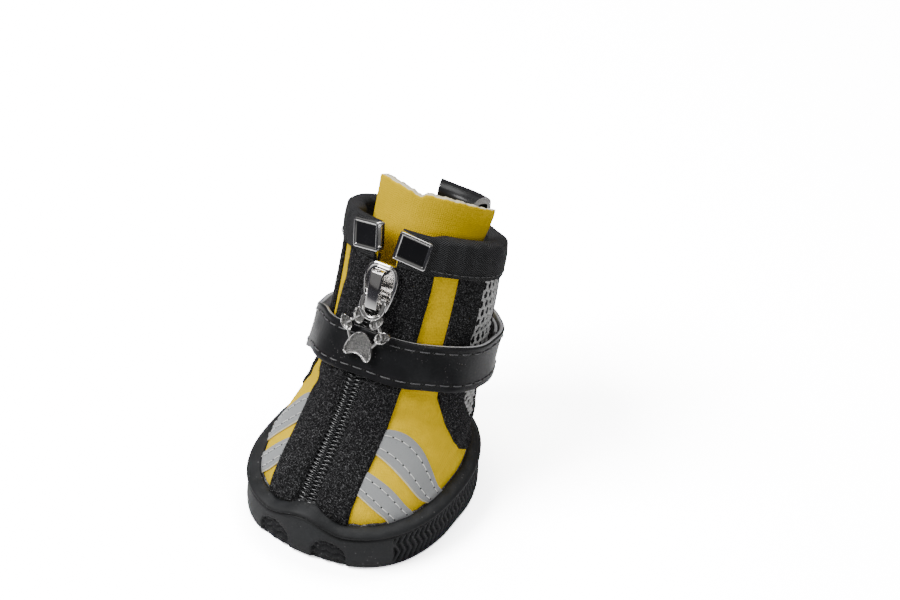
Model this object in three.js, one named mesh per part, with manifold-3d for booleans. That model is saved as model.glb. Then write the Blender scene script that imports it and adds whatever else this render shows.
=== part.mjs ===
import * as THREE from 'three';
import { mergeVertices } from 'three/addons/utils/BufferGeometryUtils.js';
import Module from 'manifold-3d';

// A small dog's boot with a rubber cup sole, a hollow soft upper, a front zip and an ankle strap.
// Millimetres, +Z up. The toe points to -Y and the boot stands on its sole at z = 0.

// Sole
const soleLength = 61;
const soleWidth = 52;
const soleToePower = 2.5;
const soleHeelPower = 2.15;
const soleFloor = 4;
const soleEdgeRound = 0.8;
const wallHeight = 7.9;
const ribPitch = 2.4;
const ribDepth = 0.6;
const ribWave = 0.4;
const smoothToeWidth = 46;
const lipHeight = 3.1;
const lipThickness = 3.2;
const bumperRise = 2.8;
const bumperWidth = 22;
const toeSpring = 1.2;
const heelSpring = 0.5;
const archRise = 0.5;
const toeWindowWidth = 9.4;
const toeWindowHeight = 6.2;
const toeWindowSpacing = 15;
const toeWindowDepth = 1.1;
const treadPitch = 4.4;
const treadGroove = 1.4;
const treadDepth = 1;
const treadZigzag = 1.1;
const smoothBarWidth = 6.4;
const insoleThickness = 2;

// Upper, measured at the collar from the middle of the sole
const upperWall = 2;
const collarHeight = 70.8;
const collarBackHeight = 54.3;
const collarSetback = 9.8;
const collarDepth = 32.6;
const collarWidth = 37.6;

// Pieces sewn on the upper
const fitGap = 0.3;
const patchThickness = 0.8;
const tapeThickness = 0.4;
const zipOffset = -1.2;
const zipSlit = 5;
const zipBandWidth = 8.4;
const zipRibPitch = 2.6;
const zipRibDepth = 0.25;
const zipProud = 0.4;
const heelStayWidth = 11;
const bindingHeight = 7.2;
const bindingThickness = 0.9;
const tongueThickness = 1.6;
const tongueRise = 9.6;
const strapWidth = 11.4;
const strapThickness = 1.2;
const loopWidth = 12.5;
const loopThickness = 1.1;
const loopRise = 11.5;

// Metal pieces
const claspWidth = 7.3;
const claspHeight = 7;
const claspThickness = 0.8;
const claspGap = 4;
const sliderWidth = 8.8;
const sliderLength = 12;
const sliderPlate = 1.2;
const bridgeWidth = 3;
const bridgeLength = 9.6;
const bridgeBar = 1;
const pullThickness = 1.3;
const pullPlay = 0.65;
const pullRingLength = 5.8;
const padWidth = 8.8;
const padLength = 6.8;
const padToRing = 3.5;
const toeWidth = 2.7;
const toeLength = 4.6;
const toeNeck = 1.3;
const pullLean = 4.5;
const pullSwing = 8;

// Sections of the upper from the seam in the sole to the collar. rise and backRise are shares of
// the way up to the collar in front and behind, lean and backLean shares of the way from the
// foot's ends to the collar's, narrow the share of the way from the foot's width to the collar's.
const sections = [
  { rise: 0, backRise: 0, lean: 0.006, backLean: 0, narrow: 0.1, toe: 2.5, heel: 2.15 },
  { rise: 0.092, backRise: 0.11, lean: 0, backLean: 0.025, narrow: 0, toe: 2.5, heel: 2.15 },
  { rise: 0.144, backRise: 0.181, lean: 0.039, backLean: 0.15, narrow: 0, toe: 2.4, heel: 2.1 },
  { rise: 0.211, backRise: 0.253, lean: 0.16, backLean: 0.287, narrow: 0.25, toe: 2.25, heel: 2 },
  { rise: 0.278, backRise: 0.324, lean: 0.323, backLean: 0.4, narrow: 0.6, toe: 2.1, heel: 2 },
  { rise: 0.353, backRise: 0.395, lean: 0.472, backLean: 0.5, narrow: 0.9, toe: 2, heel: 2 },
  { rise: 0.435, backRise: 0.466, lean: 0.601, backLean: 0.587, narrow: 0.93, toe: 2, heel: 2 },
  { rise: 0.539, backRise: 0.555, lean: 0.719, backLean: 0.675, narrow: 0.95, toe: 2, heel: 2 },
  { rise: 0.65, backRise: 0.662, lean: 0.809, backLean: 0.762, narrow: 0.97, toe: 2, heel: 2 },
  { rise: 0.762, backRise: 0.769, lean: 0.882, backLean: 0.85, narrow: 0.99, toe: 2, heel: 2 },
  { rise: 0.881, backRise: 0.884, lean: 0.944, backLean: 0.925, narrow: 1, toe: 2, heel: 2 },
  { rise: 1, backRise: 1, lean: 1, backLean: 1, narrow: 1, toe: 2, heel: 2 },
];

// Edges of the patches on one side, as turns round the boot from the front and shares up it
const sideFrontEdge = [[0.294, 0.245], [0.268, 0.273], [0.21, 0.4], [0.162, 0.535], [0.142, 0.7], [0.152, 1]];
const sideRearEdge = [[0.304, 0.245], [0.325, 0.3], [0.36, 0.43], [0.378, 0.545], [0.385, 0.7], [0.385, 1]];
const meshFrontEdge = [[0.288, 0.336], [0.247, 0.455], [0.222, 0.573], [0.21, 0.7], [0.222, 1]];
const meshRearEdge = [[0.3, 0.336], [0.305, 0.455], [0.307, 0.573], [0.307, 0.7], [0.307, 1]];
const reflectiveTapes = [
  { name: 'rear', near: [0.443, 0.375], middle: [[0.15, 0.362], [0.14, 0.273]], end: [0.253, 0.211] },
  { name: 'front', near: [0.32, 0.25], middle: [[0.13, 0.235], [0.105, 0.173]], end: [0.179, 0.129] },
];

// Strap's middle line and its stand-off from the shaft, by turns round the boot
const strapRun = [
  { turn: 0.31, level: 0.6, standOff: 1.5 },
  { turn: 0.5, level: 0.57, standOff: 1.7 },
  { turn: 0.64, level: 0.555, standOff: 2.6 },
  { turn: 0.76, level: 0.57, standOff: 3 },
  { turn: 0.87, level: 0.63, standOff: 1.9 },
  { turn: 1.0, level: 0.654, standOff: 1.6 },
  { turn: 1.1, level: 0.648, standOff: 1.9 },
  { turn: 1.24, level: 0.627, standOff: 3.1 },
  { turn: 1.4, level: 0.6, standOff: 3.4 },
];

// Tongue's side edges, by shares from its foot inside the vamp to its cut top
const tongueRun = [
  { share: 0, left: -0.085, right: 0.1 },
  { share: 0.5, left: -0.16, right: 0.235 },
  { share: 1, left: -0.13, right: 0.305 },
];
const tongueFoot = 0.4;

// Toes of the paw pull, as shares of its pad from the pad's middle
const pawToes = [
  { across: 0.6, up: 0.54, turned: -0.68 },
  { across: 0.25, up: 0.98, turned: -0.48 },
];

const seat = soleFloor + fitGap;
const footHalfLength = soleLength / 2 - lipThickness - fitGap;
const footHalfWidth = soleWidth / 2 - lipThickness - fitGap;
const collarFront = collarSetback;
const collarBack = collarSetback + collarDepth;

const materials = {
  rubber: { color: 0x2b2d2e, roughness: 0.72, metalness: 0 },
  yellow: { color: 0xf5d31e, roughness: 0.9, metalness: 0 },
  black: { color: 0x17181a, roughness: 0.95, metalness: 0 },
  leather: { color: 0x1d1e20, roughness: 0.5, metalness: 0 },
  reflective: { color: 0x8f9394, roughness: 0.55, metalness: 0 },
  mesh: { color: 0xb9bbb8, roughness: 0.7, metalness: 0 },
  lining: { color: 0x7c6a55, roughness: 0.95, metalness: 0 },
  zip: { color: 0x101113, roughness: 0.6, metalness: 0 },
  nickel: { color: 0xd5d7d8, roughness: 0.2, metalness: 1 },
};

const wasm = await Module();
wasm.setup();
const boot = new THREE.Group();

function addPiece(name, geometry, finish, parent = boot) {
  geometry.computeVertexNormals();
  const piece = new THREE.Mesh(geometry, new THREE.MeshStandardMaterial(materials[finish]));
  piece.name = name;
  parent.add(piece);
}

// Closed geometry from points and faces, turned outward if its volume comes out negative
function closedGeometry(points, faces) {
  const volume = faces.reduce((sum, [a, b, c]) => {
    return sum + points[a].dot(new THREE.Vector3().crossVectors(points[b], points[c]));
  }, 0);
  const ordered = volume > 0 ? faces : faces.map(([a, b, c]) => [a, c, b]);
  const geometry = new THREE.BufferGeometry().setFromPoints(points);
  geometry.setIndex(ordered.flat());
  return geometry;
}

function solidOf(geometry) {
  const plain = new THREE.BufferGeometry();
  plain.setAttribute('position', geometry.getAttribute('position'));
  plain.setIndex(geometry.index);
  const merged = mergeVertices(plain, 1e-4);
  return new wasm.Manifold(new wasm.Mesh({
    numProp: 3,
    vertProperties: new Float32Array(merged.getAttribute('position').array),
    triVerts: new Uint32Array(merged.index.array),
  }));
}

function geometryOf(solid) {
  const { vertProperties, triVerts } = solid.getMesh();
  const geometry = new THREE.BufferGeometry();
  geometry.setAttribute('position', new THREE.BufferAttribute(vertProperties, 3));
  geometry.setIndex(new THREE.BufferAttribute(triVerts, 1));
  return geometry;
}

// Rings of points, each counter-clockwise seen from above, closed by a fan at both ends
function loft(rings) {
  const count = rings[0].length;
  const points = rings.flat();
  const faces = [];
  for (let row = 0; row + 1 < rings.length; row += 1) {
    for (let k = 0; k < count; k += 1) {
      const a = row * count + k;
      const b = row * count + ((k + 1) % count);
      faces.push([a, b, b + count], [a, b + count, a + count]);
    }
  }
  for (const row of [0, rings.length - 1]) {
    const centre = new THREE.Vector3();
    rings[row].forEach((point) => centre.addScaledVector(point, 1 / count));
    const middle = points.push(centre) - 1;
    for (let k = 0; k < count; k += 1) {
      const a = row * count + k;
      const b = row * count + ((k + 1) % count);
      faces.push(row === 0 ? [middle, b, a] : [middle, a, b]);
    }
  }
  return closedGeometry(points, faces);
}

// A sheet with two faces on a grid: point(across, up, side) with side 0 inside and 1 outside
function sheet(columns, rows, point, wrapped = false) {
  const wide = wrapped ? columns : columns + 1;
  const points = [];
  for (const side of [0, 1]) {
    for (let j = 0; j <= rows; j += 1) {
      for (let i = 0; i < wide; i += 1) {
        points.push(point(i / columns, j / rows, side));
      }
    }
  }
  const inner = (i, j) => j * wide + (i % wide);
  const outer = (i, j) => inner(i, j) + wide * (rows + 1);
  const faces = [];
  for (let j = 0; j < rows; j += 1) {
    for (let i = 0; i < columns; i += 1) {
      faces.push([outer(i, j), outer(i + 1, j), outer(i + 1, j + 1)]);
      faces.push([outer(i, j), outer(i + 1, j + 1), outer(i, j + 1)]);
      faces.push([inner(i, j), inner(i + 1, j + 1), inner(i + 1, j)]);
      faces.push([inner(i, j), inner(i, j + 1), inner(i + 1, j + 1)]);
    }
  }
  const close = (i0, j0, i1, j1) => {
    faces.push([outer(i1, j1), outer(i0, j0), inner(i0, j0)]);
    faces.push([outer(i1, j1), inner(i0, j0), inner(i1, j1)]);
  };
  for (let i = 0; i < columns; i += 1) {
    close(i, 0, i + 1, 0);
    close(i + 1, rows, i, rows);
  }
  for (let j = 0; j < rows && !wrapped; j += 1) {
    close(columns, j, columns, j + 1);
    close(0, j + 1, 0, j);
  }
  return closedGeometry(points, faces);
}

// A closed outline carried along a run: place(share, x, y) gives its points
function sweep(steps, outline, place) {
  const flat = outline.map(([x, y]) => new THREE.Vector2(x, y));
  if (THREE.ShapeUtils.isClockWise(flat)) {
    return sweep(steps, [...outline].reverse(), place);
  }
  const count = outline.length;
  const points = [];
  for (let step = 0; step <= steps; step += 1) {
    outline.forEach(([x, y]) => points.push(place(step / steps, x, y)));
  }
  const faces = [];
  for (let step = 0; step < steps; step += 1) {
    for (let k = 0; k < count; k += 1) {
      const a = step * count + k;
      const b = step * count + ((k + 1) % count);
      faces.push([a, a + count, b + count], [a, b + count, b]);
    }
  }
  const last = steps * count;
  for (const [a, b, c] of THREE.ShapeUtils.triangulateShape(flat, [])) {
    faces.push([a, b, c], [last + a, last + c, last + b]);
  }
  return closedGeometry(points, faces);
}

// Smooth value of every column of a table at a share of its length, straight on past its end
function alongTable(table, share) {
  const span = table.length - 1;
  const clamped = Math.min(Math.max(share, 0), 1) * span;
  const k = Math.min(Math.floor(clamped), span - 1);
  const f = clamped - k;
  const past = (share - Math.min(Math.max(share, 0), 1)) * span;
  const row = {};
  for (const column of Object.keys(table[0])) {
    const value = (i) => table[Math.min(Math.max(i, 0), span)][column];
    const [p0, p1, p2, p3] = [value(k - 1), value(k), value(k + 1), value(k + 2)];
    const smooth = p1 + 0.5 * f * (p2 - p0 + f * (2 * p0 - 5 * p1 + 4 * p2 - p3
      + f * (3 * (p1 - p2) + p3 - p0)));
    row[column] = smooth + past * (p2 - p1);
  }
  return row;
}

// Straight-line value in a table whose first column is the key
function lookUp(table, key, column, at) {
  const next = table.findIndex((row) => row[key] >= at);
  if (next <= 0) {
    return table[next === 0 ? 0 : table.length - 1][column];
  }
  const [a, b] = [table[next - 1], table[next]];
  const share = (at - a[key]) / (b[key] - a[key]);
  const eased = share * share * (3 - 2 * share);
  return a[column] + (b[column] - a[column]) * eased;
}

function sectionAt(level) {
  const row = alongTable(sections, level);
  return {
    frontZ: seat + (collarHeight - seat) * row.rise,
    backZ: seat + (collarBackHeight - seat) * row.backRise,
    frontY: -footHalfLength + (collarFront + footHalfLength) * row.lean,
    backY: footHalfLength + (collarBack - footHalfLength) * row.backLean,
    half: footHalfWidth + (collarWidth / 2 - footHalfWidth) * row.narrow,
    toe: row.toe,
    heel: row.heel,
  };
}

// Outer face of the upper: turn goes round from the front by the +X side, level goes up from 0 to 1
function skin(turn, level) {
  const { frontZ, backZ, frontY, backY, half, toe, heel } = sectionAt(level);
  const angle = turn * 2 * Math.PI;
  const [s, c] = [Math.sin(angle), Math.cos(angle)];
  const power = 2 / (c > 0 ? toe : heel);
  const reach = (backY - frontY) / 2;
  const x = half * Math.sign(s) * Math.abs(s) ** power;
  const y = frontY + reach - Math.sign(c) * reach * Math.abs(c) ** power;
  return new THREE.Vector3(x, y, frontZ + ((backZ - frontZ) * (y - frontY)) / (backY - frontY));
}

function skinFrame(turn, level) {
  const step = 1e-4;
  const base = Math.max(level, step);
  const across = skin(turn + step, base).sub(skin(turn - step, base)).normalize();
  const up = skin(turn, base + step).sub(skin(turn, base - step)).normalize();
  const normal = new THREE.Vector3().crossVectors(across, up).normalize();
  return { across, up, normal };
}

// A point that stands off the upper, and may be lifted along it
function onUpper(turn, level, standOff, lift = 0) {
  const { normal, up } = skinFrame(turn, level);
  return skin(turn, level).addScaledVector(normal, standOff).addScaledVector(up, lift);
}

// Turn at which the front of the upper lies x to the side
function turnAtX(x, level) {
  const { half, toe } = sectionAt(level);
  return (Math.sign(x) * Math.asin(Math.min(1, Math.abs(x) / half) ** (toe / 2))) / (2 * Math.PI);
}

// Turn at which the back of the upper lies x to the side
function backTurnAtX(x, level) {
  const { half, heel } = sectionAt(level);
  return 0.5 - (Math.sign(x) * Math.asin(Math.min(1, Math.abs(x) / half) ** (heel / 2))) / (2 * Math.PI);
}

// Level at which a rising measure of the upper reaches a value
function levelWhere(measure, value) {
  let [low, high] = [0, 1];
  for (let k = 0; k < 40; k += 1) {
    const middle = (low + high) / 2;
    [low, high] = measure(middle) < value ? [middle, high] : [low, middle];
  }
  return low;
}

function bumper(x, y) {
  const share = Math.min(1, Math.abs(x) / (bumperWidth / 2));
  return y < 0 ? bumperRise * (0.5 + 0.5 * Math.cos(Math.PI * share)) : 0;
}

// Lowest level of a patch, just above the rubber lip
function levelAboveLip(turn) {
  const { x, y } = skin(turn, 0.1);
  const top = wallHeight + lipHeight + bumper(x, y) + 2 * fitGap;
  return levelWhere((level) => skin(turn, level).z, top);
}

// Highest level of a patch, just below the binding
function levelBelowBinding(turn) {
  const top = skin(turn, 1);
  return levelWhere((level) => -skin(turn, level).distanceTo(top), -(bindingHeight + fitGap));
}

function soleCorner(angle, inset) {
  const [s, c] = [Math.sin(angle), Math.cos(angle)];
  const power = 2 / (c > 0 ? soleToePower : soleHeelPower);
  const x = (soleWidth / 2 - inset) * Math.sign(s) * Math.abs(s) ** power;
  return new THREE.Vector2(x, -(soleLength / 2 - inset) * Math.sign(c) * Math.abs(c) ** power);
}

// The sole's outline measured along its edge from the middle of the toe, by way of +X
function measuredOutline() {
  const steps = 720;
  const corners = [];
  for (let k = 0; k <= steps; k += 1) {
    corners.push(soleCorner((k / steps) * 2 * Math.PI, 0));
  }
  const lengths = [0];
  for (let k = 1; k <= steps; k += 1) {
    lengths.push(lengths[k - 1] + corners[k].distanceTo(corners[k - 1]));
  }
  const total = lengths[steps];
  const pointAt = (along, inset) => {
    const wanted = ((along % total) + total) % total;
    const k = Math.max(1, lengths.findIndex((length) => length >= wanted));
    const share = (wanted - lengths[k - 1]) / (lengths[k] - lengths[k - 1]);
    const tangent = corners[k].clone().sub(corners[k - 1]).normalize();
    const point = corners[k - 1].clone().lerp(corners[k], share);
    return point.add(new THREE.Vector2(-tangent.y, tangent.x).multiplyScalar(inset));
  };
  return { total, pointAt };
}

function soleRing(count, inset, height) {
  const ring = [];
  for (let k = 0; k < count; k += 1) {
    const { x, y } = soleCorner((k / count) * 2 * Math.PI, inset);
    ring.push(new THREE.Vector3(x, y, height));
  }
  return ring;
}

// Ribbed wall: upright wavy ribs all round, but for a smooth toe
function ribbedWall() {
  const { total, pointAt } = measuredOutline();
  const start = smoothToeWidth / 2;
  const ribs = Math.max(4, Math.round((total - 2 * start) / ribPitch));
  const smooth = 10;
  const columns = [];
  for (let k = 0; k <= 2 * ribs; k += 1) {
    const ribbed = k > 0 && k < 2 * ribs;
    const along = start + ((total - 2 * start) * k) / (2 * ribs);
    columns.push({ along, depth: k % 2, sway: ribbed ? 1 : 0 });
  }
  for (let k = 1; k < smooth; k += 1) {
    columns.push({ along: total - start + (2 * start * k) / smooth, depth: 0, sway: 0 });
  }
  const rows = [
    { up: 0, inset: soleEdgeRound, rib: 0, wave: 0 },
    { up: 0.1, inset: 0, rib: 1, wave: 1 },
    { up: 0.38, inset: 0, rib: 1, wave: -1 },
    { up: 0.66, inset: 0, rib: 1, wave: 1 },
    { up: 0.93, inset: 0, rib: 1, wave: -1 },
    { up: 1, inset: soleEdgeRound, rib: 0, wave: 0 },
  ];
  return solidOf(loft(rows.map((row) => columns.map((column) => {
    const along = column.along + ribWave * row.wave * column.sway;
    const { x, y } = pointAt(along, row.inset + ribDepth * row.rib * column.depth);
    return new THREE.Vector3(x, y, wallHeight * row.up);
  }))));
}

// Rounded lip above the ribs, higher in front of the zip
function soleLip() {
  const rows = [
    { inward: 0.5, up: -0.12 },
    { inward: 0.02, up: 0.06 },
    { inward: -0.07, up: 0.3 },
    { inward: 0.02, up: 0.66 },
    { inward: 0.22, up: 0.9 },
    { inward: 0.5, up: 1 },
    { inward: 0.85, up: 0.97 },
  ];
  const leanBack = 0.4;
  return solidOf(loft(rows.map(({ inward, up }) => {
    const ring = soleRing(52, lipThickness * inward, 0);
    return ring.map(({ x, y }) => {
      const extra = bumper(x, y) * Math.max(0, up);
      const height = wallHeight + lipHeight * up + extra;
      return new THREE.Vector3(x, y + leanBack * extra, height);
    });
  })));
}

function footCavity() {
  const count = 44;
  const levels = [0, 0.05, 0.1, 0.145, 0.19, 0.26];
  const ring = (level) => Array.from({ length: count }, (_, k) => onUpper(k / count, level, fitGap));
  const floor = ring(0).map(({ x, y }) => new THREE.Vector3(x, y, soleFloor));
  return solidOf(loft([floor, ...levels.slice(1).map(ring)]));
}

// Slab of an outline in plan, given as [x, y] corners, between two heights
function planSlab(corners, low, high) {
  const shape = new THREE.Shape(corners.map(([x, y]) => new THREE.Vector2(x, y)));
  const geometry = new THREE.ExtrudeGeometry(shape, { depth: high - low, bevelEnabled: false });
  return solidOf(mergeVertices(stripped(geometry.translate(0, 0, low))));
}

function stripped(geometry) {
  geometry.deleteAttribute('normal');
  geometry.deleteAttribute('uv');
  return geometry;
}

// Straight bar in plan between two points
function planBar(x0, y0, x1, y1, width, low, high) {
  const along = new THREE.Vector2(x1 - x0, y1 - y0).normalize().multiplyScalar(width / 2);
  const corners = [
    [x0 - along.x + along.y, y0 - along.y - along.x],
    [x1 + along.x + along.y, y1 + along.y - along.x],
    [x1 + along.x - along.y, y1 + along.y + along.x],
    [x0 - along.x - along.y, y0 - along.y + along.x],
  ];
  return planSlab(corners, low, high);
}

// Zigzag grooves across the tread, kept off the smooth bars
function treadGrooves() {
  const [low, high] = [-1, treadDepth];
  const halfLength = soleLength / 2;
  const halfWidth = soleWidth / 2;
  const rows = Math.floor((halfLength - smoothBarWidth / 2) / treadPitch);
  const zigs = 10;
  const grooves = [];
  for (let row = 1; row <= rows; row += 1) {
    for (const side of [-1, 1]) {
      const middle = side * (smoothBarWidth / 2 + (row - 0.5) * treadPitch);
      const edge = (shift) => Array.from({ length: zigs + 1 }, (_, k) => {
        const x = (k / zigs - 0.5) * (soleWidth + 2);
        return [x, middle + shift + (k % 2 === 0 ? treadZigzag : -treadZigzag)];
      });
      grooves.push(planSlab([...edge(-treadGroove / 2), ...edge(treadGroove / 2).reverse()], low, high));
    }
  }
  const bars = [
    planBar(0, 0, 0, -halfLength, smoothBarWidth, low - 1, high + 1),
    planBar(0, 0, 0, halfLength, smoothBarWidth, low - 1, high + 1),
  ];
  for (const side of [-1, 1]) {
    bars.push(planBar(0, 0, side * 0.72 * halfWidth, -0.86 * halfLength, smoothBarWidth, low - 1, high + 1));
    bars.push(planBar(side * 0.5 * halfWidth, 0.58 * halfLength, side * halfWidth, 0.16 * halfLength,
      smoothBarWidth / 2, low - 1, high + 1));
    bars.push(planBar(side * 0.5 * halfWidth, 0.58 * halfLength, side * 0.2 * halfWidth, 0,
      smoothBarWidth / 2, low - 1, high + 1));
  }
  return wasm.Manifold.union(grooves).subtract(wasm.Manifold.union(bars));
}

// Low wedge under the tread between two places along the boot, to a height given by rise(share)
function underCut(fromY, toY, rise) {
  const steps = 5;
  const corners = [[toY, -1], [fromY, -1]];
  for (let k = 0; k <= steps; k += 1) {
    corners.push([fromY + ((toY - fromY) * k) / steps, rise(k / steps)]);
  }
  const halfWidth = soleWidth / 2 + 1;
  const outline = corners.map(([y, z]) => [y, z]);
  return solidOf(sweep(1, outline, (share, y, z) => {
    return new THREE.Vector3((share * 2 - 1) * halfWidth, y, z);
  }));
}

// Two arched windows in the toe that show the tread
function toeWindows() {
  const arch = new THREE.Shape();
  const half = toeWindowWidth / 2;
  arch.moveTo(-half, -1);
  arch.lineTo(half, -1);
  arch.lineTo(half, toeWindowHeight - half);
  arch.absarc(0, toeWindowHeight - half, half, 0, Math.PI, false);
  arch.lineTo(-half, -1);
  const core = solidOf(loft([-2, wallHeight + lipHeight].map((z) => soleRing(52, toeWindowDepth, z))));
  const cuts = [-1, 1].map((side) => {
    const options = { depth: soleLength / 4, bevelEnabled: false, curveSegments: 7 };
    const prism = new THREE.ExtrudeGeometry(arch, options);
    prism.rotateX(Math.PI / 2);
    prism.translate((side * toeWindowSpacing) / 2, -soleLength / 4 - 1, 0);
    return solidOf(mergeVertices(stripped(prism))).subtract(core);
  });
  return wasm.Manifold.union(cuts);
}

function makeSole() {
  const toeBreak = -0.31 * soleLength;
  const heelBreak = 0.4 * soleLength;
  const archEnd = 0.12 * soleLength;
  const sole = ribbedWall()
    .add(soleLip())
    .subtract(footCavity())
    .subtract(toeWindows())
    .subtract(treadGrooves())
    .subtract(underCut(toeBreak, -soleLength / 2 - 1, (share) => toeSpring * share ** 2))
    .subtract(underCut(heelBreak, soleLength / 2 + 1, (share) => heelSpring * share ** 2))
    .subtract(underCut(-archEnd, archEnd, (share) => archRise * Math.sin(Math.PI * share) ** 2));
  addPiece('sole', geometryOf(sole), 'rubber');
}

function makeInsole() {
  const inset = -(upperWall + fitGap);
  const ring = (level, height) => Array.from({ length: 40 }, (_, k) => {
    const { x, y } = onUpper(k / 40, level, inset);
    return new THREE.Vector3(x, y, height);
  });
  addPiece('insole', loft([ring(0, seat), ring(0.03, seat + insoleThickness)]), 'lining');
}

function zipEndLevel() {
  return levelAboveLip(turnAtX(zipOffset, 0.2)) + 0.01;
}

// The upper is one hollow wall, open below, at the collar and along the zip
function makeUpper() {
  const levels = [0, 0.05, 0.1, 0.145, 0.19, 0.24, 0.3, 0.37, 0.45, 0.54, 0.64, 0.76, 0.88, 1];
  const wall = sheet(40, levels.length - 1, (across, up, side) => {
    const level = levels[Math.round(up * (levels.length - 1))];
    return onUpper(across, level, side ? 0 : -upperWall);
  }, true);
  const bottom = zipEndLevel();
  const slit = sheet(1, 16, (across, up, side) => {
    const level = bottom + (1.05 - bottom) * up;
    const turn = turnAtX(zipOffset + (across - 0.5) * zipSlit, level);
    return onUpper(turn, level, side ? 1 : -upperWall - 1);
  });
  addPiece('upper', geometryOf(solidOf(wall).subtract(solidOf(slit))), 'yellow');
}

// Zip chain lying in the slit, ribbed across like its coils
function makeZipChain() {
  const bottom = zipEndLevel() + 0.006;
  const top = levelBelowBinding(0);
  const half = zipSlit / 2 - fitGap;
  const length = skin(0, bottom).distanceTo(skin(0, top));
  const rows = 2 * Math.max(4, Math.round(length / zipRibPitch));
  addPiece('zip_chain', sheet(2, rows, (across, up, side) => {
    const level = bottom + (top - bottom) * up;
    const turn = turnAtX(zipOffset + (2 * across - 1) * half, level);
    const ridge = zipProud - (Math.round(up * rows) % 2) * zipRibDepth;
    return onUpper(turn, level, side ? ridge : -upperWall * 0.6);
  }), 'zip');
}

// Patch between two lines of place, which give a turn and a level for a share up or along them
function patch(columns, rows, near, far, thickness = patchThickness, below = fitGap) {
  return sheet(columns, rows, (across, up, side) => {
    const [turn0, level0] = near(up);
    const [turn1, level1] = far(up);
    const turn = turn0 + (turn1 - turn0) * across;
    const level = level0 + (level1 - level0) * across;
    return onUpper(turn, level, below + side * thickness);
  });
}

// Line up the boot at a set distance from the middle
function uprightLine(x, turnAt) {
  const foot = turnAt(x, 0.2);
  const low = levelAboveLip(foot);
  const high = levelBelowBinding(turnAt(x, 0.9));
  return (up) => {
    const level = low + (high - low) * up;
    return [turnAt(x, level), level];
  };
}

function makeZipBands() {
  for (const [name, side] of [['zip_band_left', -1], ['zip_band_right', 1]]) {
    const inner = zipOffset + side * (zipSlit / 2 + fitGap);
    const outer = zipOffset + side * (zipSlit / 2 + fitGap + zipBandWidth);
    const lines = [uprightLine(inner, turnAtX), uprightLine(outer, turnAtX)];
    addPiece(name, patch(3, 14, side > 0 ? lines[0] : lines[1], side > 0 ? lines[1] : lines[0]), 'black');
  }
}

function makeHeelStay() {
  const right = uprightLine(heelStayWidth / 2, backTurnAtX);
  const left = uprightLine(-heelStayWidth / 2, backTurnAtX);
  addPiece('heel_stay', patch(3, 11, right, left), 'leather');
}

// Place on an edge table at a share along it, mirrored for the -X side and kept below a top
function onEdge(edge, side, shrink = 0, top = levelBelowBinding) {
  return (up) => {
    const along = up * (edge.length - 1);
    const k = Math.min(Math.floor(along), edge.length - 2);
    const f = along - k;
    const turn = edge[k][0] + (edge[k + 1][0] - edge[k][0]) * f + shrink;
    const level = edge[k][1] + (edge[k + 1][1] - edge[k][1]) * f - (up === 0 ? 2 * Math.abs(shrink) : 0);
    return [side * turn, Math.min(level, top(side * turn))];
  };
}

// Black side panels, each with a window for a strip of open mesh
function makeSidePanels() {
  const room = 0.003;
  for (const [name, side] of [['left', -1], ['right', 1]]) {
    const order = (near, far) => (side > 0 ? [near, far] : [far, near]);
    const panel = patch(9, 12, ...order(onEdge(sideFrontEdge, side), onEdge(sideRearEdge, side)));
    const windowEdges = [onEdge(meshFrontEdge, side, -room, () => 1), onEdge(meshRearEdge, side, room, () => 1)];
    const window = patch(4, 9, ...order(...windowEdges), patchThickness + 2, fitGap - 1);
    addPiece(`side_panel_${name}`, geometryOf(solidOf(panel).subtract(solidOf(window))), 'black');
    const mesh = patch(4, 9, ...order(onEdge(meshFrontEdge, side), onEdge(meshRearEdge, side)),
      patchThickness / 2);
    addPiece(`mesh_${name}`, mesh, 'mesh');
  }
}

// Reflective tapes that sweep from the zip bands down to the lip
function makeReflectiveTapes() {
  const curve = (start, middle, end) => (share) => {
    const [a, b, c] = [(1 - share) * (1 - 2 * share), 4 * share * (1 - share), share * (2 * share - 1)];
    return [0, 1].map((k) => a * start[k] + b * middle[k] + c * end[k]);
  };
  for (const [label, side] of [['left', -1], ['right', 1]]) {
    const bandEdge = zipOffset + side * (zipSlit / 2 + 2 * fitGap + zipBandWidth);
    for (const { name, near, middle, end } of reflectiveTapes) {
      const lines = [0, 1].map((k) => {
        const start = [Math.abs(turnAtX(bandEdge, near[k])), near[k]];
        const line = curve(start, middle[k], [end[k], levelAboveLip(side * end[k])]);
        return (share) => {
          const [turn, level] = line(share);
          return [side * turn, level];
        };
      });
      const ordered = side > 0 ? [lines[0], lines[1]] : [lines[1], lines[0]];
      addPiece(`tape_${name}_${label}`, patch(2, 9, ...ordered, tapeThickness), 'reflective');
    }
  }
}

// U-shaped run over the collar edge: legs inside and outside, down to the given depths
function collarRun(name, finish, steps, turns, thickness, clear, depths, rise) {
  const out = fitGap + clear;
  const inn = -(upperWall + fitGap + clear);
  const top = fitGap + rise;
  const round = thickness / 2;
  const outline = [
    [out, -depths[0]], [out + thickness, -depths[0]], [out + thickness, top],
    [out + thickness - round, top + thickness], [inn - thickness + round, top + thickness],
    [inn - thickness, top], [inn - thickness, -depths[1]], [inn, -depths[1]], [inn, top], [out, top],
  ];
  addPiece(name, sweep(steps, outline, (share, standOff, lift) => {
    return onUpper(turns[0] + (turns[1] - turns[0]) * share, 1, standOff, lift);
  }), finish);
}

function makeBinding() {
  const gap = Math.abs(turnAtX(claspGap / 2, 1));
  const middle = turnAtX(zipOffset, 1);
  const depths = [bindingHeight, bindingHeight];
  collarRun('collar_binding', 'black', 38, [middle + gap, middle + 1 - gap], bindingThickness, 0, depths, 0);
}

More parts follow.
